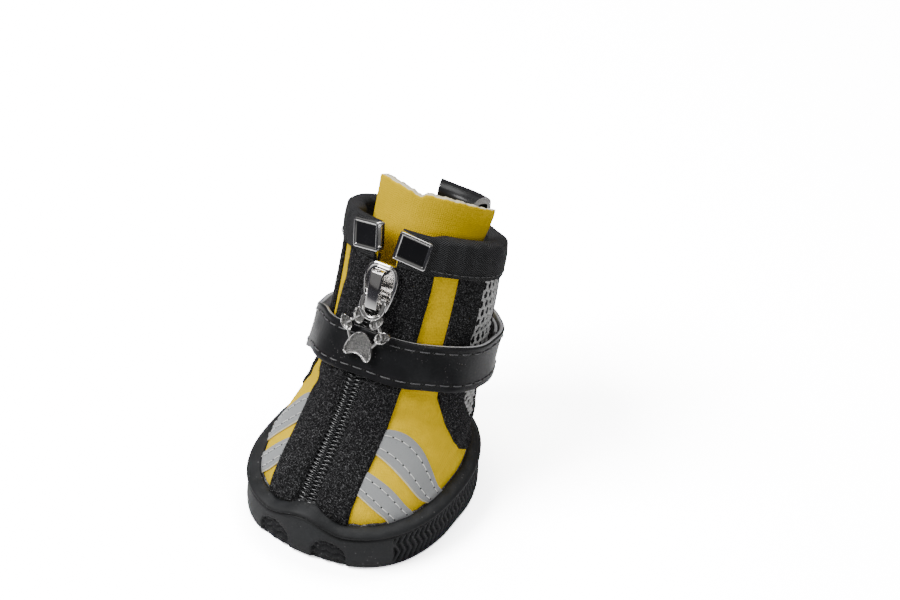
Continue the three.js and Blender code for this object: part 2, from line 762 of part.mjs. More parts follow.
function makePullLoop() {
  const half = 0.5 - backTurnAtX(loopWidth / 2, 1);
  const clear = bindingThickness + fitGap;
  const depths = [bindingHeight + 1, bindingHeight];
  collarRun('pull_loop', 'leather', 4, [0.5 - half, 0.5 + half], loopThickness, clear, depths, loopRise);
}

// Bent metal clasps crimped over the two ends of the binding
function makeClasps() {
  const clear = bindingThickness + fitGap;
  for (const [name, side] of [['clasp_left', -1], ['clasp_right', 1]]) {
    const near = turnAtX(zipOffset + side * (claspGap / 2 - fitGap), 1);
    const far = turnAtX(zipOffset + side * (claspGap / 2 - fitGap + claspWidth), 1);
    const turns = side > 0 ? [near, far] : [far, near];
    const depths = [claspHeight - claspThickness, claspHeight - claspThickness];
    collarRun(name, 'nickel', 3, turns, claspThickness, clear, depths, clear);
  }
}

// Soft tongue inside the front, cut square above the collar
function makeTongue() {
  const outside = -(upperWall + bindingThickness + claspThickness + 4 * fitGap);
  const collarLevel = levelWhere((level) => -skin(0, level).distanceTo(skin(0, 1)), -bindingHeight);
  const perLevel = (1 - collarLevel) / bindingHeight;
  const top = 1 + tongueRise * perLevel;
  addPiece('tongue', sheet(12, 12, (across, up, side) => {
    const left = lookUp(tongueRun, 'share', 'left', up);
    const right = lookUp(tongueRun, 'share', 'right', up);
    const level = tongueFoot + (top - tongueFoot) * up;
    return onUpper(left + (right - left) * across, level, outside - (1 - side) * tongueThickness);
  }), 'yellow');
}

// Ankle strap: one loose turn that ends over its own beginning
function makeStrap() {
  const [first, last] = [strapRun[0].turn, strapRun[strapRun.length - 1].turn];
  const outline = [[0, -0.5], [1, -0.5], [1, 0.5], [0, 0.5]];
  addPiece('ankle_strap', sweep(44, outline, (share, thick, high) => {
    const turn = first + (last - first) * share;
    const level = lookUp(strapRun, 'turn', 'level', turn);
    const standOff = lookUp(strapRun, 'turn', 'standOff', turn) + thick * strapThickness;
    return onUpper(turn, level, standOff, high * strapWidth);
  }), 'leather');
}

// Plate of a shape with rounded edges left square, from z = low to z = low + thickness
function plate(shape, low, thickness) {
  const options = { depth: thickness, bevelEnabled: false, curveSegments: 5 };
  const geometry = new THREE.ExtrudeGeometry(shape, options).translate(0, 0, low);
  return solidOf(mergeVertices(stripped(geometry)));
}

function ellipse(x, y, halfWidth, halfHeight, turned = 0) {
  const shape = new THREE.Shape();
  shape.absellipse(x, y, halfWidth, halfHeight, 0, 2 * Math.PI, false, turned);
  return shape;
}

function rectangle(x0, y0, x1, y1) {
  return new THREE.Shape([[x0, y0], [x1, y0], [x1, y1], [x0, y1]].map(([x, y]) => new THREE.Vector2(x, y)));
}

// Frame on the zip for the slider: X to the side, Y up the shaft, Z out from it
const sliderLevel = 0.852;
const sliderLow = zipProud + fitGap;
const sliderTop = fitGap + patchThickness + fitGap + sliderPlate;
const tunnelHeight = pullThickness + 1.4 * pullPlay;
const hingeY = -bridgeLength / 2 + bridgeBar + pullPlay + pullThickness / 2;
const hingeZ = sliderTop + tunnelHeight / 2;

function sliderFrame() {
  const group = new THREE.Group();
  const turn = turnAtX(zipOffset, sliderLevel);
  const up = skinFrame(0, sliderLevel).up;
  const side = new THREE.Vector3(1, 0, 0);
  const out = new THREE.Vector3().crossVectors(side, up).normalize();
  group.matrixAutoUpdate = true;
  group.quaternion.setFromRotationMatrix(new THREE.Matrix4().makeBasis(side, up, out));
  group.position.copy(skin(turn, sliderLevel)).setX(zipOffset);
  boot.add(group);
  return group;
}

// Slider with a keel between the zip bands, a shouldered plate and a bridge for the pull
function makeSlider(frame) {
  const half = sliderWidth / 2;
  const end = sliderLength / 2;
  const body = new THREE.Shape();
  body.moveTo(-half * 0.62, -end);
  body.lineTo(half * 0.62, -end);
  body.quadraticCurveTo(half * 0.95, -end * 0.4, half, end * 0.3);
  body.quadraticCurveTo(half * 0.95, end * 0.9, half * 0.45, end);
  body.lineTo(-half * 0.45, end);
  body.quadraticCurveTo(-half * 0.95, end * 0.9, -half, end * 0.3);
  body.quadraticCurveTo(-half * 0.95, -end * 0.4, -half * 0.62, -end);
  const keelHalf = zipSlit / 2;
  const bridgeHalf = bridgeWidth / 2;
  const bridgeEnd = bridgeLength / 2;
  const bridge = plate(rectangle(-bridgeHalf, -bridgeEnd, bridgeHalf, bridgeEnd), sliderTop - sliderPlate / 2,
    sliderPlate / 2 + tunnelHeight + bridgeBar);
  const tunnel = plate(rectangle(-half, -bridgeEnd + bridgeBar, half, bridgeEnd - bridgeBar), sliderTop,
    tunnelHeight);
  const slider = plate(body, sliderTop - sliderPlate, sliderPlate)
    .add(plate(rectangle(-keelHalf, -end * 0.9, keelHalf, end * 0.9), sliderLow, sliderTop - sliderLow))
    .add(bridge)
    .subtract(tunnel);
  addPiece('zip_slider', geometryOf(slider), 'nickel', frame);
}

// Pull tab in one piece: a ring through the bridge that carries two toes, with two more toes and
// the pad hung on them by short necks, so that the paw is open in the middle
function makePull(frame) {
  const ringHalf = bridgeWidth / 2 + 2 * fitGap;
  const outerHalf = ringHalf + pullThickness;
  const top = pullThickness / 2;
  const ring = new THREE.Shape();
  ring.moveTo(-outerHalf, outerHalf - pullRingLength);
  ring.absarc(0, outerHalf - pullRingLength, outerHalf, Math.PI, 2 * Math.PI, false);
  ring.lineTo(outerHalf, top - pullThickness / 2);
  ring.lineTo(ringHalf, top);
  ring.lineTo(-ringHalf, top);
  ring.lineTo(-outerHalf, top - pullThickness / 2);
  const hole = new THREE.Path();
  hole.moveTo(-ringHalf, -pullThickness / 2);
  hole.lineTo(ringHalf, -pullThickness / 2);
  hole.lineTo(ringHalf, outerHalf - pullRingLength);
  hole.absarc(0, outerHalf - pullRingLength, ringHalf, 0, -Math.PI, true);
  ring.holes.push(hole);
  const low = -pullThickness / 2;
  const pad = new THREE.Shape();
  const [w, h] = [padWidth / 2, padLength / 2];
  const middle = -pullRingLength - padToRing - h;
  pad.moveTo(-w, middle - h * 0.55);
  pad.quadraticCurveTo(-w, middle - h, -w * 0.6, middle - h);
  pad.quadraticCurveTo(0, middle - h * 0.6, w * 0.6, middle - h);
  pad.quadraticCurveTo(w, middle - h, w, middle - h * 0.55);
  pad.bezierCurveTo(w, middle + h * 0.1, w * 0.45, middle + h, 0, middle + h);
  pad.bezierCurveTo(-w * 0.45, middle + h, -w, middle + h * 0.1, -w, middle - h * 0.55);
  let pull = plate(ring, low, pullThickness).add(plate(pad, low, pullThickness));
  for (const side of [-1, 1]) {
    const [outer, inner] = pawToes.map(({ across, up, turned }) => {
      const [x, y] = [side * padWidth * across, middle + padLength * up];
      pull = pull.add(plate(ellipse(x, y, toeWidth / 2, toeLength / 2, side * turned), low, pullThickness));
      return [x, y];
    });
    pull = pull.add(planBar(...outer, ...inner, toeNeck, low, -low));
    pull = pull.add(planBar(...outer, side * w * 0.6, middle, toeNeck, low, -low));
  }
  const tab = new THREE.Group();
  tab.position.set(0, hingeY, hingeZ);
  tab.rotation.set(THREE.MathUtils.degToRad(-pullSwing), 0, THREE.MathUtils.degToRad(-pullLean));
  frame.add(tab);
  addPiece('zip_pull', geometryOf(pull), 'nickel', tab);
}

makeSole();
makeInsole();
makeUpper();
makeTongue();
makeZipChain();
makeZipBands();
makeSidePanels();
makeReflectiveTapes();
makeHeelStay();
makeBinding();
makePullLoop();
makeClasps();
makeStrap();
const zipFrame = sliderFrame();
makeSlider(zipFrame);
makePull(zipFrame);

// The origin is the middle of the boot's box, on the floor
const reach = new THREE.Box3().setFromObject(boot);
boot.position.set(-(reach.min.x + reach.max.x) / 2, -(reach.min.y + reach.max.y) / 2, -reach.min.z);
boot.updateMatrixWorld(true);

export default boot;
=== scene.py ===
"""Fine shapes, finishes and the stage for a small dog boot with a zip, a strap and a rubber cup sole.

Lengths are in millimetres from the middle of the sole, with the toe to -Y, until a mesh is made.
A place on the upper is a turn round it from the front by the +X side, and a level from 0 at the
seam in the sole to 1 at the collar.
"""
import math

import bpy
import numpy as np
from bpy.props import FloatProperty, FloatVectorProperty, IntProperty, PointerProperty
from mathutils import Matrix, Vector


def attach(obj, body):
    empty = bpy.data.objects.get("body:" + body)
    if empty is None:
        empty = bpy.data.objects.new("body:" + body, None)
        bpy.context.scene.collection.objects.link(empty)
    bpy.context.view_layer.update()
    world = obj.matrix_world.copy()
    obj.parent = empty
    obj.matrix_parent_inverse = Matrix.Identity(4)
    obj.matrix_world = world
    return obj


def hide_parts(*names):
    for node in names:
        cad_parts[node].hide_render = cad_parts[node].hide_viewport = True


bl_info = {
    "name": "Dog Boot",
    "version": (1, 0, 0),
    "blender": (4, 5, 0),
    "location": "3D View > Sidebar > Dog Boot",
    "description": "Fine shapes and finishes of a dog boot with a zip, a strap and a rubber cup sole",
    "category": "Object",
}

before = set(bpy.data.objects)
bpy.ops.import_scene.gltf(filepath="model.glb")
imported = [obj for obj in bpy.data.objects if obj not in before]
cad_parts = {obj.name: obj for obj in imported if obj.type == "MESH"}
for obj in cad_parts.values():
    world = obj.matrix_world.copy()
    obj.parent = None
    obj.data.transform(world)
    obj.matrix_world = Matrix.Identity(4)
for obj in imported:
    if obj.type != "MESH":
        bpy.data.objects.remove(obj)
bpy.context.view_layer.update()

MM = 0.001
TWO_PI = 2 * math.pi
SOLE_MIDDLE_Y = -8.377

# Sizes that the boot's pieces share
SOLE_LENGTH = 61.0
SOLE_WIDTH = 52.0
SOLE_TOE_POWER = 2.5
SOLE_HEEL_POWER = 2.15
SOLE_FLOOR = 4.0
WALL_HEIGHT = 9.3
LIP_HEIGHT = 1.7
LIP_THICKNESS = 3.2
BUMPER_RISE = 2.8
BUMPER_WIDTH = 22.0
FIT_GAP = 0.3
UPPER_WALL = 2.0
COLLAR_HEIGHT = 70.8
COLLAR_BACK_HEIGHT = 54.3
COLLAR_FRONT = 9.8
COLLAR_BACK = 42.4
COLLAR_WIDTH = 37.6
ZIP_OFFSET = -1.2
ZIP_SLIT = 5.0
BAND_WIDTH = 8.4
BINDING_HEIGHT = 7.2
STRAP_WIDTH = 11.4
STRAP_THICKNESS = 1.2
SEAT = SOLE_FLOOR + FIT_GAP
FOOT_HALF_LENGTH = SOLE_LENGTH / 2 - LIP_THICKNESS - FIT_GAP
FOOT_HALF_WIDTH = SOLE_WIDTH / 2 - LIP_THICKNESS - FIT_GAP

# Columns: rise, back rise, lean, back lean, narrow, toe power, heel power
SECTIONS = np.array([
    (0, 0, 0.006, 0, 0.1, 2.5, 2.15),
    (0.092, 0.11, 0, 0.025, 0, 2.5, 2.15),
    (0.144, 0.181, 0.039, 0.15, 0, 2.4, 2.1),
    (0.211, 0.253, 0.16, 0.287, 0.25, 2.25, 2),
    (0.278, 0.324, 0.323, 0.4, 0.6, 2.1, 2),
    (0.353, 0.395, 0.472, 0.5, 0.9, 2, 2),
    (0.435, 0.466, 0.601, 0.587, 0.93, 2, 2),
    (0.539, 0.555, 0.719, 0.675, 0.95, 2, 2),
    (0.65, 0.662, 0.809, 0.762, 0.97, 2, 2),
    (0.762, 0.769, 0.882, 0.85, 0.99, 2, 2),
    (0.881, 0.884, 0.944, 0.925, 1, 2, 2),
    (1, 1, 1, 1, 1, 2, 2),
])

# Columns: turn, level
SIDE_FRONT_EDGE = np.array([
    (0.29, 0.195), (0.262, 0.25), (0.21, 0.4), (0.162, 0.535), (0.142, 0.7), (0.152, 1),
])
SIDE_REAR_EDGE = np.array([
    (0.304, 0.195), (0.325, 0.3), (0.36, 0.43), (0.378, 0.545), (0.385, 0.7), (0.385, 1),
])
MESH_FRONT_EDGE = np.array([
    (0.288, 0.336), (0.247, 0.455), (0.222, 0.573), (0.21, 0.7), (0.222, 1),
])
MESH_REAR_EDGE = np.array([
    (0.3, 0.336), (0.305, 0.455), (0.307, 0.573), (0.307, 0.7), (0.307, 1),
])

# Each tape's upper and lower edge: level at the zip band, turn and level in the middle, turn at the lip
TAPES = {
    "rear": ((0.443, (0.157, 0.368), 0.24), (0.375, (0.14, 0.273), 0.211)),
    "front": ((0.32, (0.13, 0.235), 0.179), (0.25, (0.105, 0.173), 0.129)),
}

# Columns: turn, level, stand-off, curl of the edges
STRAP_RUN = np.array([
    (0.31, 0.6, 1.5, 0),
    (0.5, 0.57, 1.7, 0),
    (0.64, 0.555, 2.6, 0.1),
    (0.76, 0.57, 3.0, 0.3),
    (0.87, 0.63, 1.9, 0.1),
    (1.0, 0.654, 1.6, 0),
    (1.1, 0.648, 1.9, 0.2),
    (1.24, 0.627, 2.1, 0.5),
    (1.4, 0.6, 2.7, 0.3),
])

# Soft creases of the upper: turn, level, reach in turns, slope in levels a turn, width and depth in mm
CREASES = np.array([
    (0.36, 0.30, 0.07, 0.55, 2.6, 0.9),
    (0.40, 0.38, 0.06, 0.35, 2.2, 0.7),
    (0.64, 0.31, 0.07, -0.5, 2.6, 0.9),
    (0.60, 0.39, 0.06, -0.3, 2.2, 0.6),
    (0.50, 0.33, 0.07, 0.0, 2.4, 0.5),
    (0.17, 0.44, 0.07, -0.9, 2.4, 0.45),
    (0.83, 0.43, 0.06, 0.9, 2.4, 0.5),
    (0.10, 0.485, 0.07, -0.2, 2.2, 0.4),
    (0.90, 0.50, 0.08, 0.15, 2.2, 0.45),
    (0.24, 0.72, 0.06, 0.4, 2.6, 0.4),
    (0.74, 0.74, 0.07, -0.5, 2.8, 0.5),
    (0.06, 0.76, 0.05, 0.8, 2.2, 0.25),
    (0.93, 0.79, 0.05, -0.8, 2.2, 0.25),
    (0.47, 0.80, 0.09, 0.1, 3.0, 0.4),
])
LEVEL_LENGTH = 68.0


def unit(vectors):
    return vectors / np.maximum(np.linalg.norm(vectors, axis=-1, keepdims=True), 1e-12)


def smooth_step(low, high, value):
    share = np.clip((value - low) / (high - low), 0, 1)
    return share * share * (3 - 2 * share)


def along_table(table, share):
    """Smooth values of every column at a share of the table's length, straight on past its end."""
    span = len(table) - 1
    share = np.asarray(share, float)
    inside = np.clip(share, 0, 1)
    k = np.minimum((inside * span).astype(int), span - 1)
    f = (inside * span - k)[..., None]
    p0, p1, p2, p3 = (table[np.clip(k + step, 0, span)] for step in (-1, 0, 1, 2))
    bend = 2 * p0 - 5 * p1 + 4 * p2 - p3 + f * (3 * (p1 - p2) + p3 - p0)
    return p1 + 0.5 * f * (p2 - p0 + f * bend) + ((share - inside) * span)[..., None] * (p2 - p1)


def look_up(table, key):
    """Eased values of the columns after the first, at a value of the first column."""
    key = np.asarray(key, float)
    k = np.clip(np.searchsorted(table[:, 0], key) - 1, 0, len(table) - 2)
    share = np.clip((key - table[k, 0]) / (table[k + 1, 0] - table[k, 0]), 0, 1)
    eased = (share * share * (3 - 2 * share))[..., None]
    return table[k, 1:] + (table[k + 1, 1:] - table[k, 1:]) * eased


def section_at(level):
    rise, back_rise, lean, back_lean, narrow, toe, heel = np.moveaxis(along_table(SECTIONS, level), -1, 0)
    return {
        "front_z": SEAT + (COLLAR_HEIGHT - SEAT) * rise,
        "back_z": SEAT + (COLLAR_BACK_HEIGHT - SEAT) * back_rise,
        "front_y": -FOOT_HALF_LENGTH + (COLLAR_FRONT + FOOT_HALF_LENGTH) * lean,
        "back_y": FOOT_HALF_LENGTH + (COLLAR_BACK - FOOT_HALF_LENGTH) * back_lean,
        "half": FOOT_HALF_WIDTH + (COLLAR_WIDTH / 2 - FOOT_HALF_WIDTH) * narrow,
        "toe": toe,
        "heel": heel,
    }


def skin(turn, level):
    """Outer face of the upper without creases."""
    turn, level = np.broadcast_arrays(np.asarray(turn, float), np.asarray(level, float))
    at = section_at(level)
    s, c = np.sin(TWO_PI * turn), np.cos(TWO_PI * turn)
    power = 2 / np.where(c > 0, at["toe"], at["heel"])
    reach = (at["back_y"] - at["front_y"]) / 2
    x = at["half"] * np.sign(s) * np.abs(s) ** power
    y = at["front_y"] + reach - np.sign(c) * reach * np.abs(c) ** power
    z = at["front_z"] + (at["back_z"] - at["front_z"]) * (y - at["front_y"]) / (2 * reach)
    return np.stack([x, y, z], -1)


def skin_frame(turn, level):
    step = 1e-3
    base = np.maximum(level, step)
    across = unit(skin(turn + step, base) - skin(turn - step, base))
    up = unit(skin(turn, base + step) - skin(turn, base - step))
    return across, up, unit(np.cross(across, up))


def creases(turn, level):
    """How far the listed creases push the cloth in or out."""
    total = np.zeros(np.broadcast(turn, level).shape)
    for centre, height, reach, slope, width, depth in CREASES:
        aside = (turn - centre + 0.5) % 1 - 0.5
        off = (level - height - slope * aside) * LEVEL_LENGTH / width
        total -= depth * (1 - 1.1 * off ** 2) * np.exp(-off ** 2) * np.exp(-((aside / reach) ** 2))
    return total


def on_cloth(turn, level, stand_off=0.0):
    """Points on the creased upper, off its face."""
    return on_skin(turn, level, stand_off + creases(turn, level))


def on_skin(turn, level, stand_off=0.0, lift=0.0):
    """Points off the upper's face and lifted along it, without creases, for what lies on it stiffly."""
    values = (np.asarray(value, float) for value in (turn, level, stand_off, lift))
    turn, level, stand_off, lift = np.broadcast_arrays(*values)
    up, normal = skin_frame(turn, level)[1:]
    return skin(turn, level) + normal * stand_off[..., None] + up * lift[..., None]


def zip_drift(level):
    """How far the zip strays sideways on its way up, in mm."""
    return np.interp(level, (0.1, 0.35, 0.55, 0.75, 0.87, 1), (-0.3, -0.6, -0.8, 0.0, 0.6, 0.8))


def turn_at_x(x, level):
    """Turn at which the front of the upper lies x to the side of where the zip would run straight."""
    at = section_at(level)
    x = x + zip_drift(level)
    share = np.minimum(1, np.abs(x) / at["half"])
    return np.sign(x) * np.arcsin(share ** (at["toe"] / 2)) / TWO_PI


def back_turn_at_x(x, level):
    at = section_at(level)
    share = np.minimum(1, np.abs(x) / at["half"])
    return 0.5 - np.sign(x) * np.arcsin(share ** (at["heel"] / 2)) / TWO_PI


def pressed(x, level):
    """1 where the clasps squeeze the collar flat, fading out below them and to the sides."""
    near = smooth_step(13.5, 9.6, np.abs(x - ZIP_OFFSET))
    return near * smooth_step(1 - 9.5 / LEVEL_LENGTH, 1 - 5 / LEVEL_LENGTH, level)


def bumper(x, y):
    share = np.minimum(1, np.abs(x) / (BUMPER_WIDTH / 2))
    return np.where(y < 0, BUMPER_RISE * (0.5 + 0.5 * np.cos(math.pi * share)), 0)


def level_at_lip(turn, above=0.0):
    """Level at which the upper leaves the rubber lip."""
    levels = np.linspace(0, 0.5, 400)
    points = skin(turn, levels)
    x, y = skin(turn, 0.1)[..., :2]
    top = WALL_HEIGHT + LIP_HEIGHT + bumper(x, y) + above
    return float(np.interp(top, points[:, 2], levels))


def level_under_binding(turn, above=0.0):
    levels = np.linspace(0.7, 1, 300)
    down = np.linalg.norm(skin(turn, levels) - skin(turn, 1.0), axis=-1)
    return float(np.interp(-(BINDING_HEIGHT + FIT_GAP - above), -down, levels))


class Maker:
    """Gathers the points and faces of one piece; each point also has its place on the cloth in mm."""

    def __init__(self):
        self.points, self.faces, self.cloth, self.finish = [], [], [], []
        self.count = 0

    def add(self, points, faces, finish=0, cloth=None):
        points = np.asarray(points, float).reshape(-1, 3)
        cloth = points[:, :2] if cloth is None else np.asarray(cloth, float).reshape(-1, 2)
        self.points.append(points)
        self.cloth.append(cloth)
        for face in faces:
            self.faces.append([int(corner) + self.count for corner in face])
        finishes = np.broadcast_to(np.asarray(finish), (len(faces),))
        self.finish.extend(int(k) for k in finishes)
        self.count += len(points)

    def make(self, name, finishes, body="boot", replaces=(), sharp=None):
        mesh = bpy.data.meshes.new(name)
        points = (np.concatenate(self.points) + (0, SOLE_MIDDLE_Y, 0)) * MM
        mesh.from_pydata(points.tolist(), [], self.faces)
        for finish in finishes:
            mesh.materials.append(finish)
        mesh.polygons.foreach_set("material_index", self.finish)
        mesh.polygons.foreach_set("use_smooth", [True] * len(self.faces))
        corner_points = np.empty(len(mesh.loops), dtype=np.int32)
        mesh.loops.foreach_get("vertex_index", corner_points)
        layer = mesh.uv_layers.new(name="cloth")
        layer.data.foreach_set("uv", np.concatenate(self.cloth)[corner_points].ravel())
        if sharp is not None:
            mesh.set_sharp_from_angle(angle=math.radians(sharp))
        mesh.update()
        piece = bpy.data.objects.new(name, mesh)
        bpy.context.scene.collection.objects.link(piece)
        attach(piece, body)
        if replaces:
            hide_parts(*replaces)
        return piece


def grid_faces(rows, columns, wrapped=False):
    """Quads over rows by columns points, whose outside is seen with the columns running right."""
    j, i = np.meshgrid(np.arange(rows - 1), np.arange(columns if wrapped else columns - 1), indexing="ij")
    after = (i + 1) % columns
    lower, upper = j * columns, (j + 1) * columns
    return np.stack([lower + i, lower + after, upper + after, upper + i], -1).reshape(-1, 4)


def rim_faces(rows, columns):
    """Quads that join the edges of a front grid to those of the rear grid that follows it."""
    rear = rows * columns
    quads = []
    for j, order in ((0, 1), (rows - 1, -1)):
        for i in range(columns - 1):
            a, b = (j * columns + k for k in (i, i + 1)[::order])
            quads.append((rear + a, rear + b, b, a))
    for i, order in ((0, -1), (columns - 1, 1)):
        for j in range(rows - 1):
            a, b = (k * columns + i for k in (j, j + 1)[::order])
            quads.append((rear + a, rear + b, b, a))
    return quads


def add_shell(maker, front, rear, finishes=(0, 0, 0), cloth=None):
    """Closed sheet between a front and a rear grid, with finishes for the front, the rear and the rim."""
    rows, columns = front.shape[:2]
    sheet, rim = grid_faces(rows, columns), rim_faces(rows, columns)
    faces = np.concatenate([sheet, sheet[:, ::-1] + rows * columns, rim])
    points = np.concatenate([front.reshape(-1, 3), rear.reshape(-1, 3)])
    cloth = None if cloth is None else np.tile(cloth.reshape(-1, 2), (2, 1))
    maker.add(points, faces, np.repeat(finishes, (len(sheet), len(sheet), len(rim))), cloth)


def add_rings(maker, rings, cloth=None):
    """Closed stack of rings of points, whose outside is seen with the points running right."""
    rows, count = np.shape(rings)[:2]
    ring = np.arange(count)
    faces = grid_faces(rows, count, wrapped=True).tolist() + [ring + (rows - 1) * count, ring[::-1]]
    maker.add(rings, faces, cloth=cloth)


def close_ends(count, length, radius):
    """Shares from 0 to 1 with a few close steps at each end for a rounded edge."""
    near = np.array([0, 0.06, 0.25, 0.55, 1.0]) * min(radius / length, 0.2)
    return np.concatenate([near, np.linspace(near[-1], 1 - near[-1], count)[1:-1], 1 - near[::-1]])


def lengths_along(points):
    return np.concatenate([[0], np.cumsum(np.linalg.norm(np.diff(points, axis=0), axis=-1))])


def slab(maker, place, count_across, count_up, base, thickness, radius, back=-0.1, finish=0,
         back_finish=None, texture=None):
    """Soft sheet with rounded edges. place(a, b, off) gives points for shares across and up.

    texture(a, b) may add to the stand-off of the front. Returns the front's grid.
    """
    share = np.linspace(0, 1, 40)
    width = max(lengths_along(place(share, np.full(40, at), np.zeros(40)))[-1] for at in (0.25, 0.5, 0.75))
    length = lengths_along(place(np.full(40, 0.5), share, np.zeros(40)))[-1]
    a, b = np.meshgrid(close_ends(count_across, width, radius), close_ends(count_up, length, radius))
    steps = np.linalg.norm(np.diff(place(a, b, np.zeros_like(a)), axis=1), axis=-1)
    from_near = np.concatenate([np.zeros((len(a), 1)), np.cumsum(steps, axis=1)], 1)
    from_far = from_near[:, -1:] - from_near
    nearest = np.minimum.reduce([np.full_like(a, radius), from_near, from_far, b * length, (1 - b) * length])
    profile = np.sqrt(np.maximum(0, 1 - (1 - nearest / radius) ** 2))
    off = base + thickness * profile
    if texture is not None:
        off = off + texture(a, b) * profile
    front, rear = place(a, b, off), place(a, b, np.full_like(a, back))
    cloth = np.stack([from_near - from_near[:, -1:] / 2, b * length], -1)
    rest = finish if back_finish is None else back_finish
    add_shell(maker, front, rear, (finish, rest, rest), cloth)
    return front


def tubes(maker, paths, normals, radius, sides=5, finish=0, flat=1.0):
    """Tubes along many paths of the same number of points, with closed ends."""
    paths = np.asarray(paths, float)
    many, steps = paths.shape[:2]
    tangents = unit(np.gradient(paths, axis=1))
    aside = unit(np.cross(tangents, normals))
    outward = np.cross(aside, tangents)
    radius = np.broadcast_to(np.asarray(radius, float), (many, steps))[..., None, None]
    angle = TWO_PI * np.arange(sides) / sides
    ring = np.cos(angle)[:, None] * aside[:, :, None] + np.sin(angle)[:, None] * outward[:, :, None] * flat
    points = paths[:, :, None, :] + ring * radius
    quads = grid_faces(steps, sides, wrapped=True)
    starts = (np.arange(many) * steps * sides)[:, None, None]
    faces = (quads[None] + starts).reshape(-1, 4).tolist()
    for start in starts.ravel():
        faces.append([start + k for k in range(sides)][::-1])
        faces.append([start + (steps - 1) * sides + k for k in range(sides)])
    maker.add(points, faces, finish)


def stitches(maker, points, normals, pitch, length, radius, finish=0, rise=0.22, hole=None):
    """Row of stitches along a line, each diving into the cloth at both ends, with dark pins between as
    painted shade in the needle holes.
    """
    along = lengths_along(points)
    many = max(1, int((along[-1] - 1.0) / pitch))
    first = (along[-1] - (many - 1) * pitch) / 2
    centres = first + pitch * np.arange(many)
    shares = np.array([-0.5, -0.42, -0.2, 0.2, 0.42, 0.5])
    heights = np.array([-0.6, 0.35, 1, 1, 0.35, -0.6]) * rise
    at = centres[:, None] + shares * length

    def follow(values, where):
        return np.stack([np.interp(where, along, values[:, k]) for k in range(3)], -1)

    out = unit(follow(normals, at))
    tubes(maker, follow(points, at) + out * heights[:, None], out, radius, 5, finish, 0.8)
    if hole is not None:
        ends = np.concatenate([centres - pitch / 2, [centres[-1] + pitch / 2]])
        out = unit(follow(normals, ends))[:, None, :]
        pin = follow(points, ends)[:, None, :] + out * np.array([-0.2, 0.05])[:, None]
        side = np.broadcast_to(np.array([1.0, 0.3, 0.2]), pin.shape)
        tubes(maker, pin, side, radius * 1.5, 6, hole)


def cloth_line(turns, levels, stand_off):
    """Points and normals of a line on the creased upper."""
    return on_cloth(turns, levels, stand_off), skin_frame(turns, levels)[2]


# Finishes


def put(tree, kind, inputs=None, **settings):
    node = tree.nodes.new(kind)
    for key, value in settings.items():
        setattr(node, key, value)
    for key, value in (inputs or {}).items():
        if isinstance(value, bpy.types.NodeSocket):
            tree.links.new(value, node.inputs[key])
        else:
            node.inputs[key].default_value = value
    return node


def sums(tree, operation, *values, clamp=False):
    node = put(tree, "ShaderNodeMath", operation=operation, use_clamp=clamp)
    for k, value in enumerate(values):
        if isinstance(value, bpy.types.NodeSocket):
            tree.links.new(value, node.inputs[k])
        else:
            node.inputs[k].default_value = value
    return node.outputs[0]


def shade(tree, mask, low, high):
    """Colour that goes from low to high with a mask."""
    mixer = put(tree, "ShaderNodeMix", data_type="RGBA")
    tree.links.new(mask, mixer.inputs["Factor"])
    for socket, value in ((mixer.inputs["A"], low), (mixer.inputs["B"], high)):
        if isinstance(value, bpy.types.NodeSocket):
            tree.links.new(value, socket)
        else:
            socket.default_value = (*value, 1.0)
    return mixer.outputs["Result"]


def paint(tree, shader, mask, low, high):
    """Base colour that goes from low to high with a mask."""
    tree.links.new(shade(tree, mask, low, high), shader.inputs["Base Color"])


def scaled(colour, by, plus=0.0):
    return tuple(part * by + plus for part in colour)


def object_place(tree):
    return put(tree, "ShaderNodeTexCoord").outputs["Object"]


def cloth_place(tree):
    """Place on the cloth in mm, from the piece's own measure."""
    return put(tree, "ShaderNodeUVMap", uv_map="cloth").outputs["UV"]


def speckle(tree, place, scale, detail=2.0, distortion=0.0):
    """Uneven mask of random specks, scale of them a metre."""
    inputs = {"Vector": place, "Scale": scale, "Detail": detail, "Distortion": distortion}
    return put(tree, "ShaderNodeTexNoise", inputs).outputs["Fac"]


def spread(tree, value, low, high):
    """Mask that goes from 0 at one value to 1 at another."""
    node = put(tree, "ShaderNodeMapRange", {"Value": value, "From Min": low, "From Max": high})
    return node.outputs["Result"]


def new_group(name, inputs, outputs):
    """Empty node group with named values in and out; returns it with its two end nodes."""
    group = bpy.data.node_groups.new(name, "ShaderNodeTree")
    for title, value in inputs.items():
        socket = group.interface.new_socket(title, in_out="INPUT", socket_type="NodeSocketFloat")
        socket.default_value = value
    for title in outputs:
        group.interface.new_socket(title, in_out="OUTPUT", socket_type="NodeSocketFloat")
    return group, group.nodes.new("NodeGroupInput"), group.nodes.new("NodeGroupOutput")


